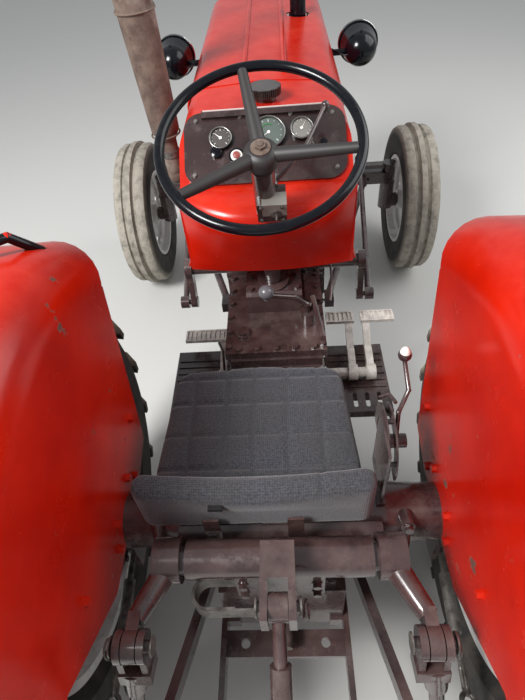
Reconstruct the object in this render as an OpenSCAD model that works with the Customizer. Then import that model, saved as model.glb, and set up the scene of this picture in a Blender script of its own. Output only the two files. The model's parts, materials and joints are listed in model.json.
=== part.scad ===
// Vintage two-wheel-drive farm tractor with a rear three-point linkage.
// Design frame: X to the right, Y forward from the rear axle, Z up from the ground.
// Every node is then shifted along Y so that the origin lies under the middle of the part.

/* [Wheels] */
// Distance between the front and rear axles
wheelbase = 1830; // [1800:5:1860]
// Distance between the centres of the rear tyres
rear_track = 1210; // [1200:5:1260]
// Distance between the centres of the front tyres
front_track = 1368; // [1350:2:1390]
// Outer radius of a rear tyre over its lugs
rear_r = 595; // [588:1:605]
// Section width of a rear tyre
rear_w = 280; // [270:1:290]
// Height of a rear lug above the carcass
lug_h = 27; // [20:1:32]
// Lugs on each side of a rear tyre
lug_n = 20; // [16:1:24]
// Radius of the rear rim under the bead
rear_rim_r = 358; // [350:1:362]
// Outer radius of a front tyre
front_r = 362; // [355:1:370]
// Section width of a front tyre
front_w = 160; // [150:1:168]
// Radius of the front rim under the bead
front_rim_r = 206; // [200:1:210]

/* [Body] */
// Half of the width of the bonnet
bonnet_hw = 235; // [220:1:245]
// Height of the bonnet's top above the ground
bonnet_z = 1262; // [1250:1:1275]
// Lower edge of the bonnet's sides
bonnet_low = 985; // [960:1:1010]
// Front end of the bonnet ahead of the front axle
bonnet_nose = 240; // [225:1:260]
// Joint between the bonnet and the tank cowl
cowl_front = 1010; // [980:1:1040]
// Thickness of the bonnet's sheet
sheet = 4; // [3:0.5:5]
// Inner face of a fender, from the centre plane
fender_in = 375; // [370:1:385]
// Width of a fender over its crown
fender_w = 352; // [340:1:360]
// Gap between a rear tyre and the fender's crown
fender_gap = 95; // [80:1:105]
// Radius of the roll between the fender's plate and its crown
fender_roll = 96; // [80:1:110]

/* [Driver] */
// Outer radius of the steering wheel's rim
wheel_r = 217; // [205:1:225]
// Tilt of the steering wheel's plane
wheel_tilt = 23.5; // [20:0.5:28]
// Height of the steering wheel's hub
wheel_z = 1298; // [1280:1:1315]
// Place of the steering wheel's hub ahead of the rear axle
wheel_y = 454; // [440:1:470]
// Width of the seat cushion
seat_w = 500; // [470:1:520]
// Sideways offset of the seat, negative to the left
seat_x = -45; // [-55:1:0]
// Top of the seat cushion
seat_z = 782; // [770:1:800]
// Height of the footplates
foot_z = 430; // [415:1:445]

/* [Linkage] */
// Length of a lift arm from shaft to pin
arm_l = 160; // [150:1:175]
// Height of the lift arms' cross shaft
arm_z = 738; // [732:1:748]
// Cross shaft behind the rear axle
arm_y = 162; // [158:1:168]
// Radius of the pins in the linkage
pin_r = 11; // [9:0.5:12.5]
// Spread of the lower link's ball eyes, from the centre plane
link_x = 375; // [360:1:390]
// Ball eyes of the lower links behind the rear axle
link_y = 790; // [760:1:810]
// Height of the lower links' ball eyes
link_z = 430; // [410:1:450]

/* [Hidden] */
$fn = 32;

// Paint and bare metal
red = "#d8301a";
brown = "#5e443d";
black = "#1b1b1d";
steel = "#b9bcc0";
rust = "#7d6553";

// Running fit of a pin or shaft, and the gap between pieces that meet face to face
fit = 0.3;
// Clearance between pieces that pass each other
clear = 6;

// Rear tyre, rim and hub
rear_x = rear_track / 2;
rear_z = 595;
// Rise of the whole body when the rear tyres differ from those it is drawn on
rise = rear_r - rear_z;
fender_r = rear_r + fender_gap;
rear_carcass = rear_r - lug_h;
rear_hw = rear_w / 2;
rim_wall = 6;
rear_bead_hw = rear_hw - 26;
drum_r = 178;
drum_in = 452;
drum_out = 535;
shaft_r = 34;
trumpet_r = 69;
trumpet_end = drum_in - clear;

// Front tyre, rim, king pin and axle
front_x = front_track / 2;
front_y = wheelbase;
front_z = front_r - rise;
front_hw = front_w / 2;
front_bead_hw = front_hw - 18;
king_x = 570;
king_r = 19;
stub_r = 24;
axle_z = 500;
axle_h = 76;
king_top = axle_z + 44;
spindle_l = 150;

// Castings along the centre line
housing_hw = 140;
housing_rear = -190;
housing_front = 270;
housing_top = 620;
cover_top = 655;
housing_low = 395;
gear_front = 860;
gear_hw = 143;
gear_top = 715;
bell_front = 1010;
engine_front = wheelbase - 190;
engine_hw = 150;
bores = [for (i = [0 : 2]) bell_front + 100 + i * 160];
bolster_front = wheelbase + 130;
bonnet_front = wheelbase + bonnet_nose;

// Steering column, box and drop arms
col_dy = sin(wheel_tilt);
col_dz = -cos(wheel_tilt);
box_top = 790;
col_len = (wheel_z - box_top + 25) / cos(wheel_tilt);
drop_y = 850;
drop_z = 722;
drop_l = 137;
drop_x = 296;
ball_x = 322;
ball_y = drop_y - 20;
ball_z = drop_z - sqrt(drop_l * drop_l - 20 * 20);
spindle_x = king_x - spindle_l;
drag_z = king_top + 50;

// Linkage
arm_x = 277;
arm_end_y = -arm_y - arm_l;
arm_end_z = arm_z + 5;
pivot_x = 165;
pivot_y = 40;
pivot_z = 385;
bracket_x = 408;
link_len = link_y + pivot_y;
link_slope = (link_x - pivot_x) / link_len;
rod_y = -430;
rod_link_x = pivot_x + (pivot_y - rod_y) * link_slope;
rod_link_z = pivot_z + (pivot_y - rod_y) * (link_z - pivot_z) / link_len;
top_y = -275;
top_z = 800;

// Ends of the whole part along Y, and the shift that brings its middle to the origin
eye_r = 34;
part_rear = -link_y - eye_r;
part_front = front_y + front_r;
mid_y = (part_front + part_rear) / 2;

// Moves the design frame so that the part's middle is at the origin and its tyres stand on the ground
module place() translate([0, -mid_y, rise]) children();

// Mirrors its children to the left side for s = -1
module side(s) mirror([s < 0 ? 1 : 0, 0, 0]) children();

// Turns a revolve about Z into one about X, its angle counted from forward to up
module about_x() rotate([90, 0, 90]) children();

// Turns Z into Y
module along_y() rotate([-90, 0, 0]) children();

// Round bar between two points
module rod(a, b, r, r2 = 0) {
    d = b - a;
    l = norm(d);
    translate(a) rotate([0, acos(d[2] / l), atan2(d[1], d[0])])
        cylinder(h = l, r1 = r, r2 = r2 > 0 ? r2 : r);
}

// Round bar through a list of points, with a ball at each bend
module bent_rod(points, r) {
    for (i = [0 : len(points) - 2]) rod(points[i], points[i + 1], r);
    for (i = [1 : len(points) - 2]) translate(points[i]) sphere(r = r * 1.12, $fn = 24);
}

// Flat bar between two points, w wide and h thick about its line
module flat_bar(a, b, w, h) {
    d = b - a;
    l = norm(d);
    translate(a) rotate([0, acos(d[2] / l), atan2(d[1], d[0])])
        translate([-h / 2, -w / 2, 0]) cube([h, w, l]);
}

// Disc or ring along X, centred at x = 0
module disc_x(r, h, hole = 0) {
    rotate([0, 90, 0]) difference() {
        cylinder(r = r, h = h, center = true);
        if (hole > 0) cylinder(r = hole, h = h + 2, center = true);
    }
}

// Box from its low corner to its high corner
module block(lo, hi) translate(lo) cube(hi - lo);

// Rectangle with round corners, w by h, centred
module round_rect(w, h, r) {
    square([w - 2 * r, h], center = true);
    square([w, h - 2 * r], center = true);
    for (sx = [-1, 1], sy = [-1, 1]) translate([sx * (w / 2 - r), sy * (h / 2 - r)]) circle(r);
}

// Points of an arc, from angle a0 to a1 in n steps
function arc(cx, cy, r, a0, a1, n = 6) =
    [for (i = [0 : n]) [cx + r * cos(a0 + (a1 - a0) * i / n), cy + r * sin(a0 + (a1 - a0) * i / n)]];

// Lug bar on one side of a rear tyre, in the plane of axial and circumferential sizes
module lug_bar() {
    polygon([[-5, -60], [-5, -20], [rear_hw * 0.5, 34], [rear_hw * 0.97, 58],
             [rear_hw * 0.97, 24], [rear_hw * 0.5, -2]]);
}

// Shape of a lug across the tyre, in radius and axial size: flat top and sloped shoulders
module lug_envelope() {
    top = sqrt(rear_r * rear_r - 60 * 60);
    polygon([[rear_carcass - 60, -rear_hw * 0.97], [top - 34, -rear_hw * 0.96], [top, -rear_hw * 0.72],
             [top, rear_hw * 0.72], [top - 34, rear_hw * 0.96], [rear_carcass - 60, rear_hw * 0.97]]);
}

// Carcass of a rear tyre, in radius and axial size
module rear_section() {
    c = rear_carcass;
    b = rear_rim_r + fit;
    polygon([[b, -rear_bead_hw], [b + 20, -rear_bead_hw], [b + 50, -rear_hw], [c - 64, -rear_hw],
             [c - 7, -rear_hw + 36], [c, 0], [c - 7, rear_hw - 36], [c - 64, rear_hw],
             [b + 50, rear_hw], [b + 20, rear_bead_hw], [b, rear_bead_hw]]);
}

module rear_tyre(s) color(black) translate([s * rear_x, 0, rear_z]) about_x() {
    rotate_extrude($fn = 40) rear_section();
    for (i = [0 : lug_n - 1], m = [0, 1])
        rotate([0, 0, (i + m / 2) * 360 / lug_n]) mirror([0, 0, m]) intersection() {
            translate([rear_carcass - 30, 0, 0]) rotate([0, -90, 180])
                linear_extrude(30 + lug_h) lug_bar();
            rotate([90, 0, 0]) linear_extrude(200, center = true) lug_envelope();
        }
}

// Rim shell in radius and axial size: flange, bead seat and well
module rim_shell(r, hw, lip, well, wall) {
    polygon([[r, -hw], [r + lip, -hw - 2], [r + lip, -hw - 2 - wall], [r - wall, -hw - 2 - wall],
             [r - wall, -hw * 0.6], [r - well, -hw * 0.42], [r - well, hw * 0.42],
             [r - wall, hw * 0.6], [r - wall, hw + 2 + wall], [r + lip, hw + 2 + wall],
             [r + lip, hw + 2], [r, hw], [r, hw * 0.52], [r - well + wall, hw * 0.36],
             [r - well + wall, -hw * 0.36], [r, -hw * 0.52]]);
}

// Rear rim with its disc, drum and the half shaft in the trumpet's bore
module rear_rim(s) color(steel) side(s) translate([0, 0, rear_z]) {
    disc_x0 = drum_out + 12;
    translate([rear_x, 0, 0]) about_x() rotate_extrude($fn = 48)
        rim_shell(rear_rim_r, rear_bead_hw, 18, 34, rim_wall);
    difference() {
        about_x() rotate_extrude($fn = 48)
            polygon([[0, disc_x0], [150, disc_x0], [206, disc_x0 + 34], [rear_rim_r - 30, disc_x0 + 34],
                     [rear_rim_r - 30, disc_x0 + 42], [204, disc_x0 + 42], [146, disc_x0 + 10],
                     [0, disc_x0 + 10]]);
        for (i = [0 : 7]) rotate([i * 45 + 22.5, 0, 0])
            translate([disc_x0 + 38, 0, 262]) disc_x(26, 40);
    }
    for (i = [0 : 7]) rotate([i * 45, 0, 0]) translate([disc_x0 + 38, 0, 306]) cube([22, 56, 44], center = true);
    about_x() rotate_extrude($fn = 40)
        polygon([[0, drum_in], [drum_r, drum_in], [drum_r, drum_out], [120, drum_out + 12], [0, drum_out + 12]]);
    about_x() translate([0, 0, disc_x0 + 8]) cylinder(r = 62, h = 40);
    about_x() translate([0, 0, trumpet_end - 90]) cylinder(r = shaft_r, h = 100);
}

// Front tyre: three ribs round the tread
module front_section() {
    r = front_r;
    b = front_rim_r + fit;
    polygon([[b, -front_bead_hw], [b + 14, -front_bead_hw], [b + 24, -front_hw + 6], [b + 62, -front_hw], [r - 48, -front_hw],
             [r - 18, -front_hw + 9], [r - 10, -front_hw * 0.72], [r - 10, -front_hw * 0.42],
             [r - 20, -front_hw * 0.36], [r - 20, -front_hw * 0.22], [r, -front_hw * 0.15],
             [r, front_hw * 0.15], [r - 20, front_hw * 0.22], [r - 20, front_hw * 0.36],
             [r - 10, front_hw * 0.42], [r - 10, front_hw * 0.72], [r - 18, front_hw - 9],
             [r - 48, front_hw], [b + 62, front_hw], [b + 24, front_hw - 6], [b + 14, front_bead_hw],
             [b, front_bead_hw]]);
}

module front_tyre(s) color(black) translate([s * front_x, front_y, front_z])
    about_x() rotate_extrude($fn = 40) front_section();

module front_rim(s) color(steel) side(s) translate([front_x, front_y, front_z]) {
    about_x() rotate_extrude($fn = 40) rim_shell(front_rim_r, front_bead_hw, 12, 20, 5);
    difference() {
        about_x() rotate_extrude($fn = 40)
            polygon([[40, 8], [96, 8], [128, -12], [front_rim_r - 17, -12], [front_rim_r - 17, -6],
                     [130, -6], [100, 14], [40, 14]]);
        for (i = [0 : 7]) rotate([i * 45, 0, 0]) translate([-9, 0, 156]) disc_x(13, 30);
    }
    about_x() difference() {
        union() {
            translate([0, 0, -54]) cylinder(r = 46, h = 76);
            translate([0, 0, 22]) cylinder(r1 = 38, r2 = 30, h = 26);
        }
        translate([0, 0, -55]) cylinder(r = stub_r + fit, h = 70);
    }
}

// King pin, stub axle and steering arm on one knuckle
module knuckle(s) color(brown) side(s) translate([king_x, front_y, 0]) {
    translate([0, 0, front_z - 30]) cylinder(r = king_r, h = king_top + 22 - front_z + 30);
    translate([0, 0, front_z - 34]) cylinder(r = 36, h = king_top - axle_h - fit - front_z + 34);
    translate([0, 0, front_z]) about_x() cylinder(r = 34, h = front_x - king_x - 54 - clear);
    translate([0, 0, front_z]) about_x() cylinder(r = stub_r, h = front_x - king_x + 12);
    translate([0, 0, king_top + fit]) {
        cylinder(r = 32, h = 24);
        translate([-spindle_l, -20, 2]) cube([spindle_l, 40, 18]);
        translate([-spindle_l, 0, 2]) cylinder(r = 20, h = 18);
    }
}

// Beam with its outer legs, the centre pivot and the radius rods
module front_axle() color(brown) {
    difference() {
        union() {
            block([-330, front_y - 42, axle_z - 38], [330, front_y + 42, axle_z + 38]);
            for (s = [-1, 1]) side(s) {
                block([290, front_y - 34, axle_z - 28], [king_x, front_y + 34, axle_z + 28]);
                translate([king_x, front_y, king_top - axle_h]) cylinder(r = 33, h = axle_h);
            }
        }
        for (s = [-1, 1]) translate([s * king_x, front_y, axle_z - axle_h])
            cylinder(r = king_r + fit, h = 2 * axle_h);
        for (s = [-1, 1], x = [365, 415, 465]) translate([s * x, front_y, axle_z]) along_y()
            cylinder(r = 9, h = 90, center = true);
        translate([0, front_y, axle_z]) along_y() cylinder(r = 24 + fit, h = 100, center = true);
    }
}

// Stays from the axle's legs back to the bell housing
module radius_rods() color(brown) for (s = [-1, 1]) side(s) {
    rod([440, front_y - 60, axle_z], [gear_hw + 60, 990, 450], 15);
    block([425, front_y - 75, axle_z - 16], [455, front_y - 34 - fit, axle_z + 16]);
    block([gear_hw + 42 + fit, 940, 430], [gear_hw + 78, 1000, 470]);
}

// Cast support under the radiator, with the pin that the axle rocks on
module front_bolster() color(brown) {
    difference() {
        union() {
            block([-150, engine_front, 560], [150, bolster_front, 640]);
            block([-110, engine_front, 470], [110, front_y - 42 - clear, 560]);
            block([-110, front_y + 42 + clear, 440], [110, bolster_front, 560]);
        }
        for (x = [-60, 60], z = [500, 590]) translate([x, bolster_front - 29, z]) along_y()
            cylinder(r = 8.5, h = 30);
    }
    translate([0, front_y - 42 - clear - 20, axle_z]) along_y() cylinder(r = 24, h = 100 + 2 * clear);
}

module engine_block() color(brown) {
    // Crankcase with its sloped sides, sump, cylinder head and rocker cover
    translate([0, engine_front, 0]) rotate([90, 0, 0]) linear_extrude(engine_front - bell_front)
        polygon([[-engine_hw, 520], [-engine_hw, 700], [-engine_hw + 22, 730], [-engine_hw + 22, 960],
                 [engine_hw - 22, 960], [engine_hw - 22, 730], [engine_hw, 700], [engine_hw, 520]]);
    translate([0, engine_front - 60, 0]) rotate([90, 0, 0]) linear_extrude(engine_front - bell_front - 80)
        polygon([[-126, 520], [-96, 408], [96, 408], [126, 520]]);
    block([-engine_hw + 12, bell_front + 16, 960], [engine_hw - 12, engine_front - 16, 1040]);
    translate([0, engine_front - 40, 1040]) rotate([90, 0, 0]) linear_extrude(engine_front - bell_front - 70)
        polygon(concat([[-96, 0]], arc(-62, 52, 32, 180, 90), arc(62, 52, 32, 90, 0), [[96, 0]]));
    // Three cylinders' freeze plugs and the side covers on the right
    for (y = bores) translate([engine_hw - 22, y, 850]) about_x() cylinder(r = 28, h = 6);
    translate([engine_hw, 1235, 610]) rotate([90, 0, 90]) linear_extrude(9) round_rect(330, 110, 30);
    translate([-engine_hw - 9, 1235, 610]) rotate([90, 0, 90]) linear_extrude(9) round_rect(330, 110, 30);
    // Manifold on the left: three runners into a log
    for (y = bores) translate([-engine_hw - 34, y, 942]) about_x() cylinder(r = 24, h = 60);
    translate([-engine_hw - 34, 1060, 942]) along_y() cylinder(r = 34, h = 410);
    translate([-engine_hw - 72, 1105, 942]) about_x() cylinder(r = 32, h = 42);
    // Twin filters under their head, and the injection pump with its three pipes, on the right
    for (y = [110, 202]) translate([engine_hw + 46, bell_front + y, 0]) {
        translate([0, 0, 800]) cylinder(r = 40, h = 140);
        translate([0, 0, 776]) cylinder(r = 10, h = 30);
    }
    block([engine_hw - 24, bell_front + 68, 936], [engine_hw + 80, bell_front + 244, 966]);
    pump = engine_front - 290;
    block([engine_hw - 4, pump, 700], [engine_hw + 72, pump + 150, 790]);
    translate([engine_hw + 34, pump + 150, 745]) along_y() cylinder(r = 44, h = 40);
    translate([engine_hw + 34, pump - 16, 745]) along_y() cylinder(r = 36, h = 20);
    for (i = [0 : 2]) {
        translate([engine_hw + 34, pump + 30 + i * 42, 788]) cylinder(r = 9, h = 26);
        bent_rod([[engine_hw + 34, pump + 30 + i * 42, 810], [engine_hw + 34, pump + 30 + i * 42, 880],
                  [engine_hw - 20, pump - 50 + i * 80, 920]], 4);
    }
    // Starter on the right, dynamo on the left, with the crank pulley and the fan ahead
    translate([engine_hw + 52, bell_front + 10, 640]) along_y() cylinder(r = 44, h = 230);
    block([engine_hw - 6, 1060, 615], [engine_hw + 40, 1220, 660]);
    translate([-engine_hw - 50, engine_front - 240, 760]) along_y() cylinder(r = 48, h = 190);
    block([-engine_hw - 30, engine_front - 210, 690], [-engine_hw + 20, engine_front - 80, 760]);
    translate([-engine_hw - 50, engine_front - 60, 760]) along_y() cylinder(r = 12, h = 76);
    for (c = [[0, 712, 62], [0, 930, 52], [-engine_hw - 50, 760, 44]])
        translate([c[0], engine_front + 14, c[1]]) along_y() rotate_extrude($fn = 32)
            polygon([[0, -30], [18, -30], [18, 0], [c[2], 0], [c[2] - 9, 9], [c[2], 18], [0, 18]]);
    for (a = [0, 1, 2, 3]) translate([0, engine_front + 48, 930]) rotate([0, a * 90 + 20, 0])
        rotate([0, 0, 24]) block([-34, -2, 30], [34, 2, 188]);
    translate([0, engine_front + 30, 930]) along_y() cylinder(r = 36, h = 30);
}

// Radiator core with the grille's frame and bars in front of it
module radiator_grille() color(red) {
    block([-200, bolster_front - 60, 640 + fit], [200, bolster_front, bonnet_z - 77]);
    translate([0, bonnet_front - 60, 0]) along_y() mirror([0, 1, 0]) difference() {
        linear_extrude(66) translate([0, (bonnet_z + 624) / 2]) round_rect(2 * (bonnet_hw - sheet - fit), bonnet_z - 656, 70);
        translate([0, 0, -1]) linear_extrude(68) translate([0, (bonnet_z + 624) / 2]) round_rect(2 * bonnet_hw - 76, bonnet_z - 714, 50);
    }
    for (i = [-7 : 7]) translate([i * 26 - 3, bonnet_front - 40, 662]) cube([6, 24, 566]);
    block([-14, bonnet_front - 44, 660], [14, bonnet_front + 2, 1230]);
    for (s = [-1, 1]) side(s) block([150, bolster_front - 5, 700], [205, bonnet_front - 50, 740]);
}

// Section of the bonnet, its top and both sides
module bonnet_section(inset) {
    w = bonnet_hw - inset;
    z = bonnet_z - inset;
    r = 60 - inset;
    polygon(concat([[w, bonnet_low - (inset > 0 ? 10 : 0)]], arc(w - r, z - r - 10, r, 0, 76),
                   [[0, z]], arc(-w + r, z - r - 10, r, 104, 180),
                   [[-w, bonnet_low - (inset > 0 ? 10 : 0)]]));
}

module bonnet() color(red) {
    difference() {
        union() {
            translate([0, bonnet_front, 0]) rotate([90, 0, 0])
                linear_extrude(bonnet_front - cowl_front - fit) bonnet_section(0);
            for (x = [-62, 62]) translate([x, (bonnet_front + cowl_front) / 2, bonnet_z - 5]) along_y()
                cylinder(r = 9, h = bonnet_front - cowl_front - 120, center = true);
            // Stiffening beads along the sides
            for (s = [-1, 1]) side(s) translate([bonnet_hw - 1.5, cowl_front + 60, 1040]) along_y()
                cylinder(r = 6, h = bonnet_front - cowl_front - 120);
        }
        translate([0, bonnet_front + 1, 0]) rotate([90, 0, 0])
            linear_extrude(bonnet_front - cowl_front + 2) bonnet_section(sheet);
        translate([128, engine_front + 65, bonnet_z - 60]) cylinder(r = 44, h = 100);
        // Louvres, and the cut-back corner over the exhaust's elbow
        for (s = [-1, 1], i = [0 : 7]) side(s) translate([bonnet_hw - 20, bonnet_front - 370 + i * 38, 1130]) rotate([90, 0, 90])
            linear_extrude(40) round_rect(12, 120, 5.9);
    }
}

// Tank cowl behind the bonnet: solid round the closed tank, with the panel's seat sloped
module tank_cowl() color(red) difference() {
    w = bonnet_hw - 12;
    union() {
        block([-70, 885, 800 + fit], [70, 985, 910]);
        translate([0, cowl_front, 0]) rotate([90, 0, 0]) linear_extrude(cowl_front - 600)
            polygon(concat([[w, 945]], arc(w - 48, bonnet_z - 60, 48, 0, 76), [[0, bonnet_z - 2]],
                           arc(-w + 48, bonnet_z - 60, 48, 104, 180), [[-w, 945]],
                           arc(0, 2260, 1363, 260, 280, 12)));
        // Rolled bead round the rear edge
        translate([0, 612, 0]) rotate([90, 0, 0]) linear_extrude(14) difference() {
            polygon(concat([[w + 5, 940]], [[w + 5, dash_lo[1] + 10]], [[-w - 5, dash_lo[1] + 10]], [[-w - 5, 940]],
                           arc(0, 2260, 1370, 260.4, 279.6, 12)));
            polygon(concat([[w - 9, 956]], [[w - 9, dash_lo[1] + 20]], [[-w + 9, dash_lo[1] + 20]], [[-w + 9, 956]],
                           arc(0, 2260, 1352, 261, 279, 12)));
        }
    }
    // Slope for the dash panel
    translate([-300, 0, 0]) rotate([90, 0, 90])
        linear_extrude(600) polygon([[560, dash_lo[1]], dash_lo, dash_hi, [dash_hi[0], bonnet_z + 40], [560, bonnet_z + 40]]);
    // Recess in the rear face, and room for the steering column
    translate([0, 618, 0]) rotate([90, 0, 0]) linear_extrude(30) polygon([[-180, 1110], [180, 1110], [180, 950], [110, 925], [-110, 925], [-180, 950]]);
    translate([0, wheel_y, wheel_z]) rotate([180 + wheel_tilt, 0, 0]) cylinder(r = 34, h = 700);
}

// Sloped instrument panel
dash_lo = [632, 1140];
dash_hi = [786, bonnet_z + 2];
dash_len = norm(dash_hi - dash_lo);
dash_tilt = atan2(dash_hi[1] - dash_lo[1], dash_hi[0] - dash_lo[0]);
dash_t = 8;

// Moves children onto the panel: X across, Y up the slope, Z out of the face
module on_dash() translate([0, dash_lo[0], dash_lo[1]]) rotate([dash_tilt, 0, 0])
    translate([0, dash_len / 2, dash_t + fit]) children();

module dash_panel() color(brown) {
    on_dash() translate([0, 0, -dash_t]) linear_extrude(dash_t) round_rect(2 * bonnet_hw - 54, dash_len - 4, 46);
    on_dash() translate([0, dash_len / 2 - 12, 0]) linear_extrude(10) square([2 * bonnet_hw - 150, 18], center = true);
}

// Place, radius and height of each instrument on the panel
function instruments() = [
    // x, up the slope, radius, height
    [-112, 22, 30, 12], [12, 28, 43, 14], [96, 34, 30, 12],
    [-72, -28, 20, 10], [118, -14, 11, 16], [-124, -14, 14, 6]];

module dash_gauges() color(black) on_dash() for (g = instruments())
    translate([g[0], g[1], fit]) difference() {
        cylinder(r = g[2], h = g[3]);
        if (g[2] > 24) translate([0, 0, g[3] - 4]) cylinder(r = g[2] - 4, h = 5);
    }

module fuel_cap() color(brown) translate([4, 870, bonnet_z - 2 + fit]) {
    cylinder(r = 30, h = 14);
    translate([0, 0, 12]) difference() {
        cylinder(r = 43, h = 22);
        for (i = [0 : 11]) rotate([0, 0, i * 30]) translate([45, 0, -1]) cylinder(r = 5, h = 30, $fn = 16);
    }
}

// Elbow, silencer and tail pipe on the left side
module exhaust() color(rust) {
    x = -330;
    y = 1105;
    rod([-engine_hw - 72 - fit, y, 942], [x, y, 942], 25);
    translate([x, y, 942]) sphere(r = 30);
    translate([x, y, 942]) cylinder(r = 27, h = 22);
    translate([x, y, 960]) rotate([0, -2.5, 0]) {
        cylinder(r = 28, h = 140);
        translate([0, 0, 110]) cylinder(r1 = 30, r2 = 46, h = 30);
        translate([0, 0, 140]) cylinder(r1 = 46, r2 = 55, h = 360);
        translate([0, 0, 478]) cylinder(r = 57, h = 8);
        translate([0, 0, 500]) cylinder(r = 55, h = 90);
        translate([0, 0, 590]) cylinder(r1 = 55, r2 = 27, h = 34);
        translate([0, 0, 610]) difference() {
            cylinder(r = 27, h = 200);
            translate([0, 0, 120]) cylinder(r = 24, h = 90);
        }
    }
}

// Air pipe through the bonnet with its cap, led forward over the fan to the cleaner's can
module intake_stack() color(black) translate([128, engine_front + 65, 0]) {
    translate([0, 95, 640 + fit]) cylinder(r = 60, h = 430);
    translate([0, 95, 1060]) cylinder(r1 = 60, r2 = 34, h = 24);
    translate([0, 95, 1080]) cylinder(r = 30, h = 90);
    translate([0, 0, 1150]) along_y() cylinder(r = 24, h = 95);
    translate([0, 0, 1140]) cylinder(r = 30, h = 265);
    translate([0, 0, 1400]) cylinder(r = 66, h = 70);
    translate([0, 0, 1470]) cylinder(r1 = 74, r2 = 30, h = 30);
}

// Round lamp buckets on studs from the bonnet's sides
module headlamps() color(black) for (s = [-1, 1]) side(s) {
    rod([bonnet_hw + fit, bonnet_front - 530, 1160], [302, bonnet_front - 530, 1160], 11);
    translate([349, bonnet_front - 570, 1170]) along_y() {
        translate([0, 0, 34]) cylinder(r1 = 60, r2 = 70, h = 60);
        sphere_back = 60;
        translate([0, 0, 34]) difference() {
            sphere(r = sphere_back);
            translate([0, 0, 100]) cube(200, center = true);
        }
        translate([0, 0, 94]) cylinder(r = 74, h = 14);
        translate([0, 0, 108]) cylinder(r1 = 68, r2 = 40, h = 10);
    }
}

// Bell housing, gearbox and steering box
module gearbox() color(brown) difference() {
    union() {
        // Narrow case, wide flange at the rear, and the bell that widens to the engine
        translate([0, gear_front, 0]) rotate([90, 0, 0]) linear_extrude(gear_front - housing_front - fit)
            polygon([[-gear_hw + 18, 400], [-gear_hw, 430], [-gear_hw, 640], [-gear_hw + 14, 664],
                     [gear_hw - 14, 664], [gear_hw, 640], [gear_hw, 430], [gear_hw - 18, 400]]);
        block([-gear_hw + 8, 430, 660], [gear_hw - 8, gear_front, 692]);
        block([-gear_hw - 16, housing_front + fit, 400], [gear_hw + 16, housing_front + 26, 660]);
        block([-gear_hw - 6, 440, 690], [gear_hw + 6, gear_front + 2, gear_top]);
        translate([0, bell_front - fit, 0]) rotate([90, 0, 0]) linear_extrude(28) bell_section(42);
        translate([0, bell_front - fit, 0]) rotate([90, 0, 0]) linear_extrude(bell_front - gear_front - fit) bell_section(26);
        translate([0, gear_front + 24, 0]) rotate([90, 0, 0]) linear_extrude(26) bell_section(12);
        for (s = [-1, 1], z = [480, 600]) side(s) block([gear_hw - 4, 560, z - 6], [gear_hw + 7, gear_front + 10, z + 6]);
        // Steering box: body with a sloped front, its cover and the flange under the column
        translate([-85, 0, 0]) rotate([90, 0, 90]) linear_extrude(170)
            polygon([[612, gear_top - 1], [612, box_top - 10], [622, box_top], [800, box_top], [878, 758], [878, gear_top - 1]]);
        translate([0, wheel_y, wheel_z]) rotate([180 + wheel_tilt, 0, 0]) translate([0, 0, col_len - 52]) cylinder(r = 48, h = 16);
        translate([0, wheel_y, wheel_z]) rotate([180 + wheel_tilt, 0, 0]) translate([0, 0, col_len - 40]) cylinder(r = 40, h = 40);
        translate([0, drop_y, drop_z]) disc_x(44, 2 * gear_hw + 40);
        for (s = [-1, 1]) side(s) translate([gear_hw - 2, 560, 470]) about_x() cylinder(r = 26, h = 14);
        for (s = [-1, 1]) side(s) translate([gear_hw - 2, 700, 545]) about_x() cylinder(r = 44, h = 12);
    }
    translate([0, drop_y, drop_z]) disc_x(22 + fit, 2 * drop_x);
    translate([0, wheel_y, wheel_z]) rotate([180 + wheel_tilt, 0, 0]) cylinder(r = 26 + fit, h = col_len + 1);
}

// Section of the bell housing, wider than the gearbox by w on each side
module bell_section(w) {
    x = gear_hw + w;
    polygon([[-x + 60, 400], [-x, 470], [-x, 730], [-x + 50, 800], [x - 50, 800], [x, 730], [x, 470], [x - 60, 400]]);
}

module gear_levers() color(brown) {
    // Main lever with its knob, leaning left and rearward
    translate([100, 560, gear_top + fit]) cylinder(r = 24, h = 45);
    bent_rod([[100, 560, 740], [96, 556, 790], [60, 545, 830], [-17, 500, 880]], 8);
    translate([-17, 500, 890]) sphere(r = 20);
    // Range lever along the right of the cover
    translate([118, 640, gear_top + fit]) cylinder(r = 14, h = 18);
    bent_rod([[118, 640, gear_top + 10], [118, 620, 760], [132, 400, 805]], 8);
}

module rear_housing() color(brown) difference() {
    union() {
        block([-housing_hw, housing_rear, housing_low], [housing_hw, housing_front, housing_top]);
        block([-housing_hw - 19, housing_front - 26, 400], [housing_hw + 19, housing_front, 660]);
        block([-118, housing_rear + 10, housing_top], [118, 250, cover_top]);
        block([-92, -arm_y - 40, housing_top - 40], [92, -arm_y + 40, arm_z]);
        translate([0, -arm_y, arm_z]) disc_x(40, 2 * 190);
        // Rocker bracket for the top link
        for (s = [-1, 1]) side(s) block([19, top_y - 30, top_z - 34], [33, -arm_y, top_z + 26]);
        block([-33, -arm_y - 70, cover_top], [33, -arm_y, top_z + 26]);
        // Lower link pivots and the drawbar's pads
        for (s = [-1, 1]) side(s) {
            block([housing_hw - 5, pivot_y - 34, pivot_z - 30], [pivot_x - 16, pivot_y + 34, pivot_z + 60]);
            translate([housing_hw, pivot_y, pivot_z]) about_x() cylinder(r = pin_r - fit, h = 40);
        }
    }
    translate([0, -arm_y, arm_z]) disc_x(30 + fit, 600);
    translate([0, top_y, top_z]) disc_x(pin_r + fit, 80);
    translate([0, housing_rear - 1, 470]) along_y() cylinder(r = 23 + fit, h = 60);
}

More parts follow.
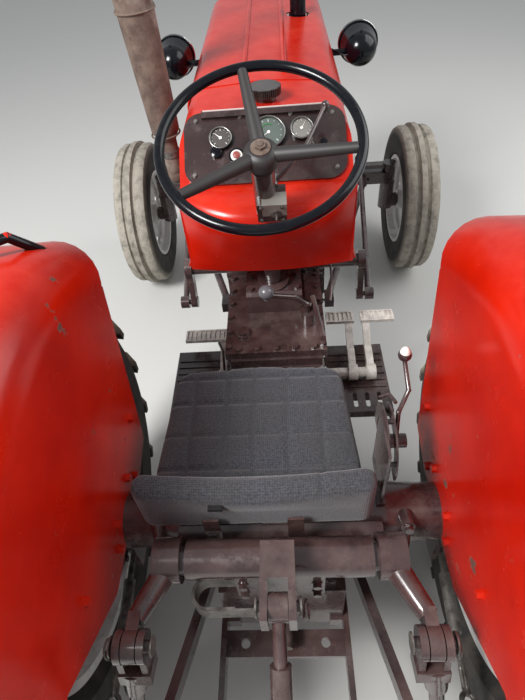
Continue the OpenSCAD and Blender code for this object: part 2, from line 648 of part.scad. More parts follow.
// Splined stub behind the housing
module pto_shaft() color(steel) translate([0, housing_rear - 76, 470]) along_y() {
    cylinder(r = 17.5, h = 120);
    translate([0, 0, 70]) cylinder(r = 23, h = 60);
}

module axle_trumpets() color(brown) for (s = [-1, 1]) side(s) difference() {
    union() {
        translate([0, 0, rear_z]) about_x() rotate_extrude($fn = 40)
            polygon([[0, housing_hw + fit], [80, housing_hw + fit], [80, housing_hw + 22], [74, housing_hw + 26],
                     [trumpet_r + 8, 240], [trumpet_r, 340], [trumpet_r, 420], [165, 424],
                     [165, trumpet_end], [0, trumpet_end]]);
        // Bracket of the check chain under the trumpet
        block([bracket_x - 12, -30, pivot_z - 20], [bracket_x + 4, 70, rear_z - 60]);
        translate([bracket_x - 12, pivot_y, pivot_z]) about_x() cylinder(r = 10, h = 52);
    }
    translate([0, 0, rear_z]) about_x() translate([0, 0, trumpet_end - 96]) cylinder(r = shaft_r + fit, h = 100);
}

// Fender crown section in radius and axial size
module crown_section() {
    o = fender_roll;
    t = 5;
    r = fender_r;
    xo = fender_in + fender_w;
    polygon(concat([[r - o - 30, fender_in]], arc(r - o, fender_in + o, o, -90, 0),
                   [[r - 8, xo - 30], [r - 26, xo], [r - 70, xo], [r - 70, xo - t], [r - 28 - t, xo - t], [r - 8 - t, xo - 32]],
                   arc(r - o, fender_in + o, o - t, 0, -90), [[r - o - 30, fender_in + t]]));
}

fender_a0 = 57;
fender_a1 = 166;
plate_r = fender_r - fender_roll;

module fender(s) color(red) side(s) {
    translate([0, 0, rear_z]) about_x() rotate([0, 0, fender_a0])
        rotate_extrude(angle = fender_a1 - fender_a0, $fn = 72) crown_section();
    difference() {
        translate([fender_in, 0, 0]) rotate([90, 0, 90]) linear_extrude(5)
            polygon(concat([[225, rear_z + 30]], arc(0, rear_z, plate_r - 10, fender_a0 - 0.5, fender_a1, 16),
                           [[-400, rear_z + 155], [-180, rear_z], [120, rear_z]]));
        translate([fender_in, 0, rear_z]) disc_x(trumpet_r + fit, 40);
    }
    // Grab handle: x, height over the crown, angle round the axle
    if (s < 0) bent_rod([for (p = [[430, -72, 61], [450, -8, 66], [482, 32, 70.5], [532, 22, 73.5], [562, -24, 74]])
        [p[0], (fender_r + p[1]) * cos(p[2]), rear_z + (fender_r + p[1]) * sin(p[2])]], 9);
}

module footplates() color(brown) for (s = [-1, 1]) side(s) {
    // Ribbed plate with its folded edges on two brackets
    difference() {
        block([gear_hw + 22, 420, foot_z], [368, 720, foot_z + 6]);
        for (i = [0 : 3]) translate([210 + i * 40, 470, foot_z - 1]) linear_extrude(8) round_rect(14, 60, 6.9);
    }
    for (i = [0 : 5]) block([gear_hw + 34, 520 + i * 30, foot_z + 5], [360, 526 + i * 30, foot_z + 10]);
    block([gear_hw + 22, 714, foot_z - 24], [368, 720, foot_z + 4]);
    block([gear_hw + 22, 420, foot_z - 24], [368, 426, foot_z + 4]);
    block([gear_hw + fit, 500, foot_z - 40], [368, 508, foot_z + 2]);
    block([gear_hw + fit, 500, foot_z - 40], [gear_hw + 10, 670, foot_z - 4]);
    block([gear_hw + fit, 662, foot_z - 40], [368, 670, foot_z + 2]);
}

// Pedal pads: x from, x to, front end, height
function pads() = [[-320, -172, 690, 540], [172, 268, 752, 540], [292, 408, 752, 540]];

module pedals() color(brown) {
    for (p = pads()) {
        // Pad with raised ribs and a rim, on an arm that bends down to its hub
        difference() {
            block([p[0], p[2] - 26, p[3]], [p[1], p[2] + 26, p[3] + 12]);
            block([p[0] + 6, p[2] - 20, p[3] + 7], [p[1] - 6, p[2] + 20, p[3] + 13]);
        }
        n = round((p[1] - p[0]) / 17) - 1;
        for (i = [1 : n]) block([p[0] + (p[1] - p[0]) * i / (n + 1) - 3, p[2] - 22, p[3] + 5],
                                [p[0] + (p[1] - p[0]) * i / (n + 1) + 3, p[2] + 22, p[3] + 11]);
        x = p[0] < 0 ? p[1] - 18 : (p[0] < 200 ? p[1] - 18 : p[0] + 18);
        flat_bar([x, p[2] - 6, p[3] + 4], [x, 640, 486], 24, 14);
        flat_bar([x, 644, 490], [x, 560, 470], 24, 26);
        translate([x, 560, 470]) disc_x(27, 30);
    }
    for (s = [-1, 1]) translate([s * (gear_hw + 12 + fit), 560, 470]) side(s) about_x()
        cylinder(r = 17, h = s > 0 ? 172 : 60);
}

// Coil of a spring standing on z, as a stack of rings
module spring_coils(r, wire, z0, z1, n) {
    for (i = [0 : n - 1]) translate([0, 0, z0 + 2 * wire + (z1 - z0 - 4 * wire) * i / (n - 1)])
        rotate_extrude($fn = 24) translate([r, 0]) circle(wire, $fn = 16);
    translate([0, 0, z0]) cylinder(r = r - wire / 2, h = z1 - z0);
}

module seat_frame() color(brown) {
    // Pan under the cushion, its cross bar, pillar and two springs
    pan = seat_z - 104;
    bar_z = cover_top + 8;
    block([seat_x - seat_w / 2 + 35, -20, pan], [seat_x + seat_w / 2 - 35, 320, pan + 6]);
    block([-200, -112, bar_z], [200, -60, pan - 4]);
    for (s = [-1, 1]) side(s) block([136, -146, bar_z], [232, -60, pan - 4]);
    for (x = [-110, 66]) block([seat_x + x, -110, bar_z], [seat_x + x + 34, -104 - fit, 800]);
    block([-40, -60, pan - 6], [40, 150, pan]);
    block([-40, -62, bar_z], [40, -30, pan]);
    block([-40, 80, cover_top + fit], [40, 140, pan]);
    for (s = [-1, 1]) translate([s * 200, -116, 0]) spring_coils(22, 5, 606, bar_z + 2, 6);
    for (s = [-1, 1]) side(s) block([housing_hw + fit, -142, 598], [228, -90, 608]);
}

module seat_cushion() color("#85868a") translate([seat_x - seat_w / 2, -30, seat_z - 98 + fit])
    cube([seat_w, 385, 98]);

module seat_back() color("#85868a") translate([seat_x - seat_w / 2 - 6, -104, seat_z - 52])
    cube([seat_w + 12, 74 - fit, 175]);

// Quadrant plates and the hydraulic lever beside the seat
module lift_quadrant() color(brown) {
    q = seat_x + seat_w / 2 + 27;
    for (x = [q + 6, q + 22]) translate([x, 70, 800]) rotate([90, 0, 90]) linear_extrude(4)
        difference() {
            circle(r = 88);
            translate([-100, -200]) square([200, 170]);
            circle(r = 60);
        }
    translate([q + 30, 70, 800]) disc_x(16, 60);
    block([q, -20, rear_z + 80], [q + 6, 100, 878]);
    for (a = [15, 90, 165]) translate([q + 6, 70 + 74 * cos(a), 800 + 74 * sin(a)]) about_x() cylinder(r = 6, h = 20);
    block([226, -24, rear_z + 77.3], [q + 12, 24, rear_z + 90]);
    bent_rod([[q + 38, 70, 800], [q + 38, 90, 880], [q + 64, 130, 905], [q + 58, 178, 950]], 5);
    translate([q + 58, 182, 962]) sphere(r = 15);
}

// Column from the steering box to the wheel, with the switch block
module steering_column() color(brown) {
    translate([0, wheel_y, wheel_z]) rotate([180 + wheel_tilt, 0, 0]) {
        translate([0, 0, 34]) cylinder(r = 26, h = col_len - 34);
        translate([0, 0, 14 + fit]) cylinder(r = 14, h = 42);
    }
    translate([14, wheel_y, wheel_z]) rotate([180 + wheel_tilt, 0, 0]) translate([-34, -14, 110]) cube([68, 56, 64]);
    // Rocker shaft of the drop arms
    translate([0, drop_y, drop_z]) disc_x(22, 2 * (drop_x - 12 - 2 * fit));
    translate([0, drop_y, drop_z]) disc_x(10 - fit, 2 * (drop_x + 12));
}

// Rim, three spokes and hub
module steering_wheel() color(black) translate([0, wheel_y, wheel_z]) rotate([wheel_tilt, 0, 0]) {
    dish = 42;
    translate([0, 0, dish]) rotate_extrude($fn = 64) translate([wheel_r - 11, 0]) circle(11, $fn = 20);
    for (a = [100, -8, 216]) rotate([0, 0, a]) rod([24, 0, 2], [wheel_r - 12, 0, dish], 13, 10);
    translate([0, 0, -14]) cylinder(r = 32, h = 30);
    translate([0, 0, 16]) cylinder(r = 18, h = 12, $fn = 6);
}

// Arm from the rocker shaft down to the ball pin
module drop_arm(s) color(brown) side(s) {
    difference() {
        union() {
            translate([drop_x, drop_y, drop_z]) disc_x(34, 24);
            flat_bar([drop_x, drop_y, drop_z], [drop_x, ball_y, ball_z], 20, 38);
        }
        translate([drop_x, drop_y, drop_z]) disc_x(10, 60);
    }
    translate([drop_x, ball_y, ball_z]) disc_x(20, 24);
    translate([drop_x + 26, ball_y, ball_z]) disc_x(9, 44);
}

module drag_link(s) color(brown) side(s) {
    difference() {
        translate([ball_x + 8, ball_y, ball_z]) disc_x(22, 30);
        translate([ball_x + 8, ball_y, ball_z]) disc_x(9 + fit, 40);
    }
    rod([ball_x + 8, ball_y + 20, ball_z], [spindle_x, front_y - 20, drag_z], 11);
    translate([spindle_x, front_y, drag_z]) sphere(r = 22);
    translate([spindle_x, front_y, king_top + 22.6]) cylinder(r = 8, h = 20);
}

// Both lift arms on their cross shaft
module lift_arms() color(brown) {
    translate([0, -arm_y, arm_z]) disc_x(30, 2 * 250);
    for (s = [-1, 1]) side(s) difference() {
        union() {
            translate([228, -arm_y, arm_z]) disc_x(46, 56);
            rod([232, -arm_y - 20, arm_z], [arm_x, arm_end_y + 46, arm_end_z], 26, 20);
            block([arm_x - 12, arm_end_y, arm_end_z - 20], [arm_x + 12, arm_end_y + 56, arm_end_z + 20]);
            translate([arm_x, arm_end_y, arm_end_z]) disc_x(30, 26);
        }
        translate([arm_x, arm_end_y, arm_end_z]) disc_x(pin_r + fit, 60);
    }
}

// Lift rod: fork and pin at the arm, screwed tube, eye beside the lower link
module lift_rod(s) color(brown) side(s) {
    top = [arm_x, arm_end_y, arm_end_z];
    low = [rod_link_x + 36, rod_y, rod_link_z];
    for (m = [-1, 1]) translate(top + [m * 22, 0, 0]) disc_x(30, 14);
    translate(top) disc_x(pin_r, 74);
    d = (low - top) / norm(low - top);
    translate(top) about_x() rotate([0, 0, atan2(d[2], d[1])]) {
        for (m = [-1, 1]) translate([4, -22, m * 22 - 6]) cube([72, 44, 12]);
        translate([54, -25, -31]) cube([28, 50, 62]);
    }
    rod(top + d * 60, top + d * 134, 28, 22);
    rod(top + d * 130, low - d * 32, 15);
    difference() {
        translate(low) disc_x(38, 16);
        translate(low) disc_x(pin_r + 14, 30);
    }
}

module lower_link(s) color(brown) side(s) {
    a = [pivot_x, pivot_y, pivot_z];
    b = [link_x, -link_y, link_z];
    d = (b - a) / norm(b - a);
    flat_bar(a + d * 24, b - d * 22, 22, 52);
    for (p = [a, b]) translate(p) difference() {
        disc_x(p == a ? 28 : eye_r, p == a ? 26 : 36);
        disc_x(pin_r, 60);
    }
    translate([rod_link_x + 26, rod_y, rod_link_z]) disc_x(pin_r, 56);
}

// Chain from the bracket on the trumpet to the lower link
module check_chain(s) color(steel) side(s) {
    a = [bracket_x + 18, pivot_y, pivot_z];
    b = [link_x + 8, -link_y + 150, link_z - 4];
    l = norm(b - a);
    d = (b - a) / l;
    translate(a) difference() { disc_x(22, 16); disc_x(10 + fit, 30); }
    // Eye bolt, screwed sleeve and stud, then the links, each turned a quarter from the last
    rod(a + d * 18, a + d * 176, 8);
    rod(a + d * 120, a + d * 262, 15);
    rod(a + d * 256, a + d * 330, 8);
    n = 6;
    pitch = (l - 330 + 10) / n;
    for (i = [0 : n - 1]) translate(a + d * (330 + pitch * (i + 0.5) - 5))
        rotate([0, acos(d[2]), atan2(d[1], d[0])]) rotate([0, 0, i * 90]) chain_link(pitch + 2 * 6.4, 6);
    translate(b) disc_x(24, 18);
    face = pivot_x + (pivot_y + link_y - 150) * link_slope + 11 / cos(atan(link_slope)) + 9 * link_slope + fit;
    translate([face, b[1], b[2]]) about_x() cylinder(r = 9, h = b[0] - face);
}

// Oval link of round wire along Z, l long over all, with its ends in the XZ plane
module chain_link(l, wire) {
    w = 13;
    for (m = [-1, 1]) {
        translate([m * w, 0, -l / 2 + w + wire]) cylinder(r = wire, h = l - 2 * w - 2 * wire, $fn = 16);
        translate([0, 0, m * (l / 2 - w - wire)]) rotate([90, 0, 0]) rotate([0, 0, m > 0 ? 0 : 180])
            rotate_extrude(angle = 180, $fn = 20) translate([w, 0]) circle(wire, $fn = 16);
    }
}

module top_link() color(brown) {
    a = [0, top_y, top_z];
    b = a + [0, -330, -250];
    d = (b - a) / norm(b - a);
    translate(a) disc_x(26, 36);
    translate(a) disc_x(pin_r, 76);
    rod(a + d * 20, a + d * 110, 13);
    rod(a + d * 100, b - d * 100, 20);
    rod(b - d * 110, b - d * 20, 13);
    difference() {
        translate(b) disc_x(27, 40);
        translate(b) disc_x(9.5, 60);
    }
}

// Side bars and the drilled cross plate under the linkage
module drawbar_frame() color(brown) {
    for (s = [-1, 1]) side(s) {
        block([housing_hw + fit, -440, 396], [housing_hw + 14, -60, 440]);
        block([110, housing_rear - fit - 8, 396], [housing_hw + 10, housing_rear - fit, 440]);
    }
    difference() {
        block([-housing_hw - 8, -272, 408], [housing_hw + 8, -214, 424]);
        for (s = [-1, 1]) translate([s * 96, -243, 400]) cylinder(r = 11, h = 40);
    }
}

// Flat steel strap bent into a loop at the left of the top link's bracket
module strap_loop() color(steel) translate([0, -215, 650]) difference() {
    union() {
        translate([-150, 0, 0]) cylinder(r = 34, h = 46);
        block([-150, -34, 0], [-33 - fit, 34, 46]);
    }
    translate([-150, 0, -1]) cylinder(r = 27, h = 48);
    block([-150, -27, -1], [-20, 27, 47]);
    block([-92 - fit, -30, -1], [-20, 40, 47]);
}

place() engine_block();
place() front_bolster();
place() radiator_grille();
place() bonnet();
place() tank_cowl();
place() dash_panel();
place() dash_gauges();
place() fuel_cap();
place() exhaust();
place() intake_stack();
place() headlamps();
place() front_axle();
place() radius_rods();
place() knuckle(-1);  // knuckle_left
place() knuckle(1);  // knuckle_right
place() front_rim(-1);  // front_rim_left
place() front_rim(1);  // front_rim_right
place() front_tyre(-1);  // front_tyre_left
place() front_tyre(1);  // front_tyre_right
place() rear_rim(-1);  // rear_rim_left
place() rear_rim(1);  // rear_rim_right
place() rear_tyre(-1);  // rear_tyre_left
place() rear_tyre(1);  // rear_tyre_right
place() gearbox();
place() gear_levers();
place() rear_housing();
place() axle_trumpets();
place() fender(-1);  // fender_left
place() fender(1);  // fender_right
place() footplates();
place() pedals();
place() seat_frame();
place() seat_cushion();
place() seat_back();
place() lift_quadrant();
place() steering_column();
place() steering_wheel();
place() drop_arm(-1);  // drop_arm_left
place() drop_arm(1);  // drop_arm_right
place() drag_link(-1);  // drag_link_left
place() drag_link(1);  // drag_link_right
place() lift_arms();
place() lift_rod(-1);  // lift_rod_left
place() lift_rod(1);  // lift_rod_right
place() lower_link(-1);  // lower_link_left
place() lower_link(1);  // lower_link_right
place() check_chain(-1);  // check_chain_left
place() check_chain(1);  // check_chain_right
place() top_link();
place() drawbar_frame();
place() strap_loop();
place() pto_shaft();
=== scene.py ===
"""Looks of the vintage tractor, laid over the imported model.

Row frame in metres: X to the tractor's right, Y forward, Z up from the ground.
Sizes in the classes are in millimetres of the design frame, whose Y starts at the rear axle.
"""

import json
import logging
import math
from dataclasses import dataclass
from enum import Enum
from typing import Iterable, Sequence

import bmesh
import bpy
from mathutils import Matrix, Vector

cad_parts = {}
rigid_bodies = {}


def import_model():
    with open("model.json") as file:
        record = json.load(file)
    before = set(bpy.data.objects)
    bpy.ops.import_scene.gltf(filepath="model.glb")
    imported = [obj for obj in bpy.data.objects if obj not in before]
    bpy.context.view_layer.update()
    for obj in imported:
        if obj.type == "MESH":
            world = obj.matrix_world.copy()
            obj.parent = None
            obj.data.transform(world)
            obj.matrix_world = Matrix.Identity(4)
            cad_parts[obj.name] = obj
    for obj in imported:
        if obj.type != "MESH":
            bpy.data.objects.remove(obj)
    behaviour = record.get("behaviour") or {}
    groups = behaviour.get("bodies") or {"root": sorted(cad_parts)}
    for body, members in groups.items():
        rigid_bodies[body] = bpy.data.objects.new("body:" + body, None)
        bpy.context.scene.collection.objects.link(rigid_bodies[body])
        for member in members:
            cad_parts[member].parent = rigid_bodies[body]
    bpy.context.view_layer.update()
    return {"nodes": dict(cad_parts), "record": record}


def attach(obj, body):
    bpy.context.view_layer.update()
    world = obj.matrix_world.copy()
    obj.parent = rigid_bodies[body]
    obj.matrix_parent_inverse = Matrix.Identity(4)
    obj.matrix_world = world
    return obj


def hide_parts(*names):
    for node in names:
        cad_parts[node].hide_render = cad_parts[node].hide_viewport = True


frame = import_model()

LOG = logging.getLogger("tractor")
MIDDLE_Y = 684.0  # the whole part's middle, ahead of the rear axle
REAR_R = 595.0
FRONT_R, FRONT_Y = 362.0, 1830.0
CHASSIS = "chassis"
RIGHT, BACK, UP = (1, 0, 0), (0, -1, 0), (0, 0, 1)
PIECE_SHARP, NODE_SHARP = 38.0, 34.0  # degrees above which an edge stays hard
WELD_M = 1e-5


class Side(Enum):
    """The tractor's two sides."""

    LEFT = -1
    RIGHT = 1

    @property
    def word(self) -> str:
        """The side's name as it ends a node's name."""
        return self.name.lower()


def at(x: float, y: float, z: float) -> Vector:
    """Turns a place in the design frame into the row frame.

    Args:
        x: Millimetres to the right of the centre plane.
        y: Millimetres ahead of the rear axle.
        z: Millimetres above the ground.

    Returns:
        The same place in metres.
    """
    return Vector((x, y - MIDDLE_Y, z)) / 1000.0


def linear(colour: str) -> tuple[float, float, float, float]:
    """Converts a hex sRGB colour to the linear values that shaders take.

    Args:
        colour: Six hex digits after a hash.

    Returns:
        Linear red, green and blue, and an alpha of 1.
    """
    parts = [int(colour[i : i + 2], 16) / 255 for i in (1, 3, 5)]
    r, g, b = (c / 12.92 if c <= 0.04045 else ((c + 0.055) / 1.055) ** 2.4 for c in parts)
    return r, g, b, 1.0


class Painter:
    """A material under construction, with the patterns that most finishes share."""

    def __init__(self, name: str) -> None:
        """Starts a material.

        Args:
            name: Name of the material.
        """
        self.material = bpy.data.materials.new(name)
        self.material.use_nodes = True
        self.tree = self.material.node_tree
        self.place = self.add("TexCoord", out="Object")

    def fill(self, node: bpy.types.Node, links: dict) -> None:
        """Sets or links the inputs of a node.

        Args:
            node: The node.
            links: Socket name or index, and the value, hex colour or output socket that it takes.
        """
        for key, value in links.items():
            if isinstance(value, bpy.types.NodeSocket):
                self.tree.links.new(value, node.inputs[key])
            else:
                node.inputs[key].default_value = linear(value) if isinstance(value, str) else value

    def add(self, kind: str, links: dict | None = None, out: int | str = 0, **settings) -> bpy.types.NodeSocket:
        """Adds one shader node with its settings and links.

        Args:
            kind: The node's type without the ShaderNode prefix.
            links: What its inputs take, as in fill.
            out: Name or index of the output that is wanted.
            settings: Properties set on the node itself.

        Returns:
            The output socket.
        """
        made = self.tree.nodes.new("ShaderNode" + kind)
        for key, value in settings.items():
            setattr(made, key, value)
        self.fill(made, links or {})
        return made.outputs[out]

    def grain(self, size_mm: float, detail: float = 4.0, rough: float = 0.6) -> bpy.types.NodeSocket:
        """Makes an uneven pattern whose features have a real size.

        Args:
            size_mm: Size of the largest features.
            detail: Octaves of finer grain.
            rough: Strength of the finer octaves.

        Returns:
            The pattern's value from 0 to 1.
        """
        links = {"Vector": self.place, "Scale": 1000.0 / size_mm, "Detail": detail, "Roughness": rough}
        return self.add("TexNoise", links)

    def patches(
        self, size_mm: float, low: float, high: float, detail: float = 4.0, rough: float = 0.6
    ) -> bpy.types.NodeSocket:
        """Makes patches with soft edges out of the grain.

        Args:
            size_mm: Size of the largest patches.
            low: Value of the grain where a patch begins.
            high: Value of the grain where it is full.
            detail: Octaves of finer grain.
            rough: Strength of the finer octaves.

        Returns:
            A mask from 0 to 1.
        """
        return self.add("MapRange", {"Value": self.grain(size_mm, detail, rough), "From Min": low, "From Max": high})

    def on_top(self, mask: bpy.types.NodeSocket) -> bpy.types.NodeSocket:
        """Keeps a mask only where the surface faces the sky, where dust settles.

        Args:
            mask: The mask from 0 to 1.

        Returns:
            What is left of it.
        """
        upward = self.add("SeparateXYZ", {0: self.add("NewGeometry", out="Normal")}, 2)
        top = self.add("MapRange", {"Value": upward, "From Min": 0.3, "From Max": 0.95})
        return self.add("Math", {0: top, 1: mask}, operation="MULTIPLY")

    def total(self, *terms: tuple[bpy.types.NodeSocket, float], base: float = 0.0) -> bpy.types.NodeSocket:
        """Adds up patterns, each with its own weight.

        Args:
            terms: Each pattern and its weight.
            base: Value where every pattern is 0.

        Returns:
            The weighted sum.
        """
        for pattern, weight in terms:
            base = self.add("Math", {0: pattern, 1: weight, 2: base}, operation="MULTIPLY_ADD")
        return base

    def layer(
        self, under: str | bpy.types.NodeSocket, over: str, mask: bpy.types.NodeSocket, share: float = 1.0
    ) -> bpy.types.NodeSocket:
        """Lays a second colour over the first.

        Args:
            under: First colour, as hex or socket.
            over: Second colour, as hex.
            mask: Where the second colour lies, from 0 to 1.
            share: How much of it shows where the mask is 1.

        Returns:
            The colour of both.
        """
        return self.add("Mix", {0: self.total((mask, share)), 6: under, 7: over}, 2, data_type="RGBA")

    def finish(self, links: dict) -> bpy.types.Material:
        """Sets the surface's inputs and hands the material over.

        Args:
            links: Names of the surface's inputs and what they take, as in fill.

        Returns:
            The finished material.
        """
        self.fill(self.tree.nodes["Principled BSDF"], {"Coat Roughness": 0.12, **links})
        return self.material


@dataclass(frozen=True)
class Finish:
    """A real surface; each subclass says what it is made of."""

    def material(self) -> bpy.types.Material:
        """Returns this finish's material, made once and then shared."""
        if self not in MADE:
            MADE[self] = self.build(f"{type(self).__name__}_{len(MADE)}")
        return MADE[self]

    def build(self, name: str) -> bpy.types.Material:
        """Builds the material.

        Args:
            name: Name of the new material.

        Returns:
            The material.
        """
        raise NotImplementedError


MADE: dict[Finish, bpy.types.Material] = {}


@dataclass(frozen=True)
class RedPaint(Finish):
    """Tomato-red enamel over brown primer on steel sheet.

    It is glossy, a little dusty on top, and chipped to the primer low down.
    """

    clean_mm: float = 1000.0
    worn_mm: float = 560.0
    chips: tuple = ((0.685, 0.697), (0.705, 0.72))

    def build(self, name: str) -> bpy.types.Material:
        """Builds the material.

        Args:
            name: Name of the new material.

        Returns:
            The material.
        """
        p = Painter(name)
        tone = p.layer("#a81001", "#c21c03", p.patches(240, 0.35, 0.65, 5))
        tone = p.layer(tone, "#b98268", p.on_top(p.patches(60, 0.35, 0.75, 8, 0.7)), 0.09)
        span = {"From Min": self.clean_mm / 1000, "From Max": self.worn_mm / 1000}
        low = p.add("MapRange", {"Value": p.add("SeparateXYZ", {0: p.place}, 2), **span})
        worn = p.total((p.grain(70, 8, 0.65), 1.0), (low, 0.075))
        chip, deep = (p.add("MapRange", {"Value": worn, "From Min": a, "From Max": b}) for a, b in self.chips)
        tone = p.layer(p.layer(tone, "#7a4a3c", chip), "#57423a", deep)
        film = p.total((p.grain(60, 3), 1.0), (chip, -1.0))
        return p.finish({
            "Base Color": tone,
            "Roughness": p.total((chip, 0.45), (p.grain(90), 0.18), base=0.16),
            "Specular IOR Level": 0.35,
            "Normal": p.add("Bump", {"Height": film, "Distance": 0.0005, "Strength": 0.2}),
        })


@dataclass(frozen=True)
class ChassisPaint(Finish):
    """Purple-brown enamel brushed over cast iron and forged steel.

    The thick film gives a wavy gloss, with dull dirt in the hollows and dust on top.
    """

    dark: str = "#2f2223"
    light: str = "#4d3a38"
    dust: float = 0.24

    def build(self, name: str) -> bpy.types.Material:
        """Builds the material.

        Args:
            name: Name of the new material.

        Returns:
            The material.
        """
        p = Painter(name)
        dirt = p.patches(45, 0.52, 0.7, 9, 0.7)
        tone = p.layer(self.dark, self.light, p.patches(130, 0.35, 0.7, 6))
        tone = p.layer(tone, "#6b5c55", dirt, self.dust)
        tone = p.layer(tone, "#86776f", p.on_top(p.patches(80, 0.45, 0.7, 6)), self.dust)
        tone = p.layer(tone, "#3a2c26", p.patches(22, 0.69, 0.71, 7, 0.65))
        return p.finish({
            "Base Color": tone,
            "Roughness": p.total((dirt, 0.35), base=0.22),
            "Coat Weight": 0.6,
            "Normal": p.add("Bump", {"Height": p.grain(24, 4, 0.5), "Distance": 0.0007, "Strength": 0.22}),
        })


@dataclass(frozen=True)
class BlackEnamel(Finish):
    """Black enamel or bakelite: deep black with small sharp highlights under fine dust."""

    def build(self, name: str) -> bpy.types.Material:
        """Builds the material.

        Args:
            name: Name of the new material.

        Returns:
            The material.
        """
        p = Painter(name)
        tone = p.layer("#06080e", "#77706a", p.on_top(p.patches(30, 0.45, 0.75, 8, 0.7)), 0.05)
        rough = p.total((p.grain(40, 6), 0.2), base=0.08)
        return p.finish({"Base Color": tone, "Roughness": rough, "Specular IOR Level": 0.32})


@dataclass(frozen=True)
class RustySteel(Finish):
    """Sheet steel that was hot and rusts: matt brown with sooty and pale patches."""

    def build(self, name: str) -> bpy.types.Material:
        """Builds the material.

        Args:
            name: Name of the new material.

        Returns:
            The material.
        """
        p = Painter(name)
        tone = p.layer("#52423a", "#77665b", p.patches(55, 0.35, 0.65, 8, 0.7))
        tone = p.layer(tone, "#8d8178", p.patches(120, 0.55, 0.7, 6))
        tone = p.layer(tone, "#4a342a", p.patches(14, 0.6, 0.75, 6))
        pits = p.add("Bump", {"Height": p.grain(6, 6, 0.7), "Distance": 0.0006, "Strength": 0.4})
        return p.finish({"Base Color": tone, "Roughness": 0.82, "Metallic": 0.15, "Normal": pits})


@dataclass(frozen=True)
class SilverPaint(Finish):
    """Dull silver paint on pressed rims: pale and half matt, with dried mud and rust specks."""

    def build(self, name: str) -> bpy.types.Material:
        """Builds the material.

        Args:
            name: Name of the new material.

        Returns:
            The material.
        """
        p = Painter(name)
        mud = p.patches(50, 0.5, 0.68, 9, 0.72)
        tone = p.layer("#c0c0bf", "#dad9d6", p.patches(110, 0.3, 0.7, 6))
        tone = p.layer(tone, "#9a8d7c", mud, 0.55)
        tone = p.layer(tone, "#6b4432", p.patches(12, 0.68, 0.72, 7))
        return p.finish({"Base Color": tone, "Roughness": p.total((mud, 0.3), base=0.42), "Metallic": 0.1})


@dataclass(frozen=True)
class TyreRubber(Finish):
    """Worn black rubber: matt, dust-grey on the tread and brownish on the walls.

    The tread is found by the distance from the wheel's axis.
    """

    y: float = 0.0
    z: float = REAR_R
    tread: float = REAR_R - 60
    dust: str = "#8d8171"
    blend: float = 30.0

    def build(self, name: str) -> bpy.types.Material:
        """Builds the material.

        Args:
            name: Name of the new material.

        Returns:
            The material.
        """
        p = Painter(name)
        flat = p.add("VectorMath", {0: p.place, 1: (0, 1, 1)}, operation="MULTIPLY")
        axle = (0, (self.y - MIDDLE_Y) / 1000, self.z / 1000)
        radius = p.add("VectorMath", {0: flat, 1: axle}, "Value", operation="DISTANCE")
        span = {"From Min": self.tread / 1000, "From Max": (self.tread + self.blend) / 1000}
        tread = p.add("MapRange", {"Value": radius, **span})
        patch = p.patches(42, 0.2, 0.55, 9, 0.72)
        tone = p.layer("#232120", "#5d5348", p.patches(70, 0.42, 0.7, 8, 0.7), 0.5)
        tone = p.layer(tone, self.dust, p.add("Math", {0: tread, 1: patch}, operation="MULTIPLY"), 0.85)
        return p.finish({
            "Base Color": tone,
            "Roughness": p.total((patch, 0.15), base=0.72),
            "Normal": p.add("Bump", {"Height": p.grain(5, 5, 0.65), "Distance": 0.0008, "Strength": 0.3}),
        })


@dataclass(frozen=True)
class SeatCloth(Finish):
    """Grey coarse-woven cover: no shine, flecked yarn and a faint fuzz.

    The thread spacing was set as coarse as it needs to show; the real one wasn't measured.
    """

    thread_mm: float = 5.067

    def build(self, name: str) -> bpy.types.Material:
        """Builds the material.

        Args:
            name: Name of the new material.

        Returns:
            The material.
        """
        p = Painter(name)
        links = {"Vector": p.place, "Scale": 100 * math.pi / self.thread_mm, "Distortion": 0.6, "Detail": 1.0}
        warp, weft = (p.add("TexWave", links, 1, bands_direction=axis) for axis in "XY")
        weave = p.add("Math", {0: warp, 1: weft}, operation="MULTIPLY")
        tone = p.layer("#1f2125", "#3e4046", p.patches(5, 0.38, 0.62, 3, 0.7))
        tone = p.layer(tone, "#35342f", p.patches(160, 0.4, 0.7, 5), 0.35)
        tone = p.layer(tone, "#62646a", weave, 0.25)
        return p.finish({
            "Base Color": tone,
            "Roughness": 0.95,
            "Sheen Weight": 0.25,
            "Normal": p.add("Bump", {"Height": weave, "Distance": 0.0008, "Strength": 0.6}),
        })


@dataclass(frozen=True)
class BareSteel(Finish):
    """Worn bare steel with old grease: an uneven grey-brown shine."""

    bright: str = "#86827d"
    dark: str = "#4b4641"
    metal: float = 0.6

    def build(self, name: str) -> bpy.types.Material:
        """Builds the material.

        Args:
            name: Name of the new material.

        Returns:
            The material.
        """
        p = Painter(name)
        tone = p.layer(self.dark, self.bright, p.patches(28, 0.38, 0.66, 8, 0.7))
        rough = p.total((p.grain(18, 6), 0.4), base=0.25)
        return p.finish({"Base Color": tone, "Roughness": rough, "Metallic": self.metal})


@dataclass(frozen=True)
class Plain(Finish):
    """Any small even surface: plastic, dial card, ink or plated metal."""

    colour: str = "#ffffff"
    rough: float = 0.5
    metal: float = 0.0

    def build(self, name: str) -> bpy.types.Material:
        """Builds the material under the given name."""
        return Painter(name).finish({"Base Color": self.colour, "Roughness": self.rough, "Metallic": self.metal})


@dataclass(frozen=True)
class ClearGlass(Finish):
    """Clear pressed glass over a lamp: a sharp highlight with the bucket behind it."""

    def build(self, name: str) -> bpy.types.Material:
        """Builds the material under the given name."""
        links = {"Base Color": "#eef3f2", "Roughness": 0.06, "Transmission Weight": 0.9, "Alpha": 0.35}
        return Painter(name).finish(links)


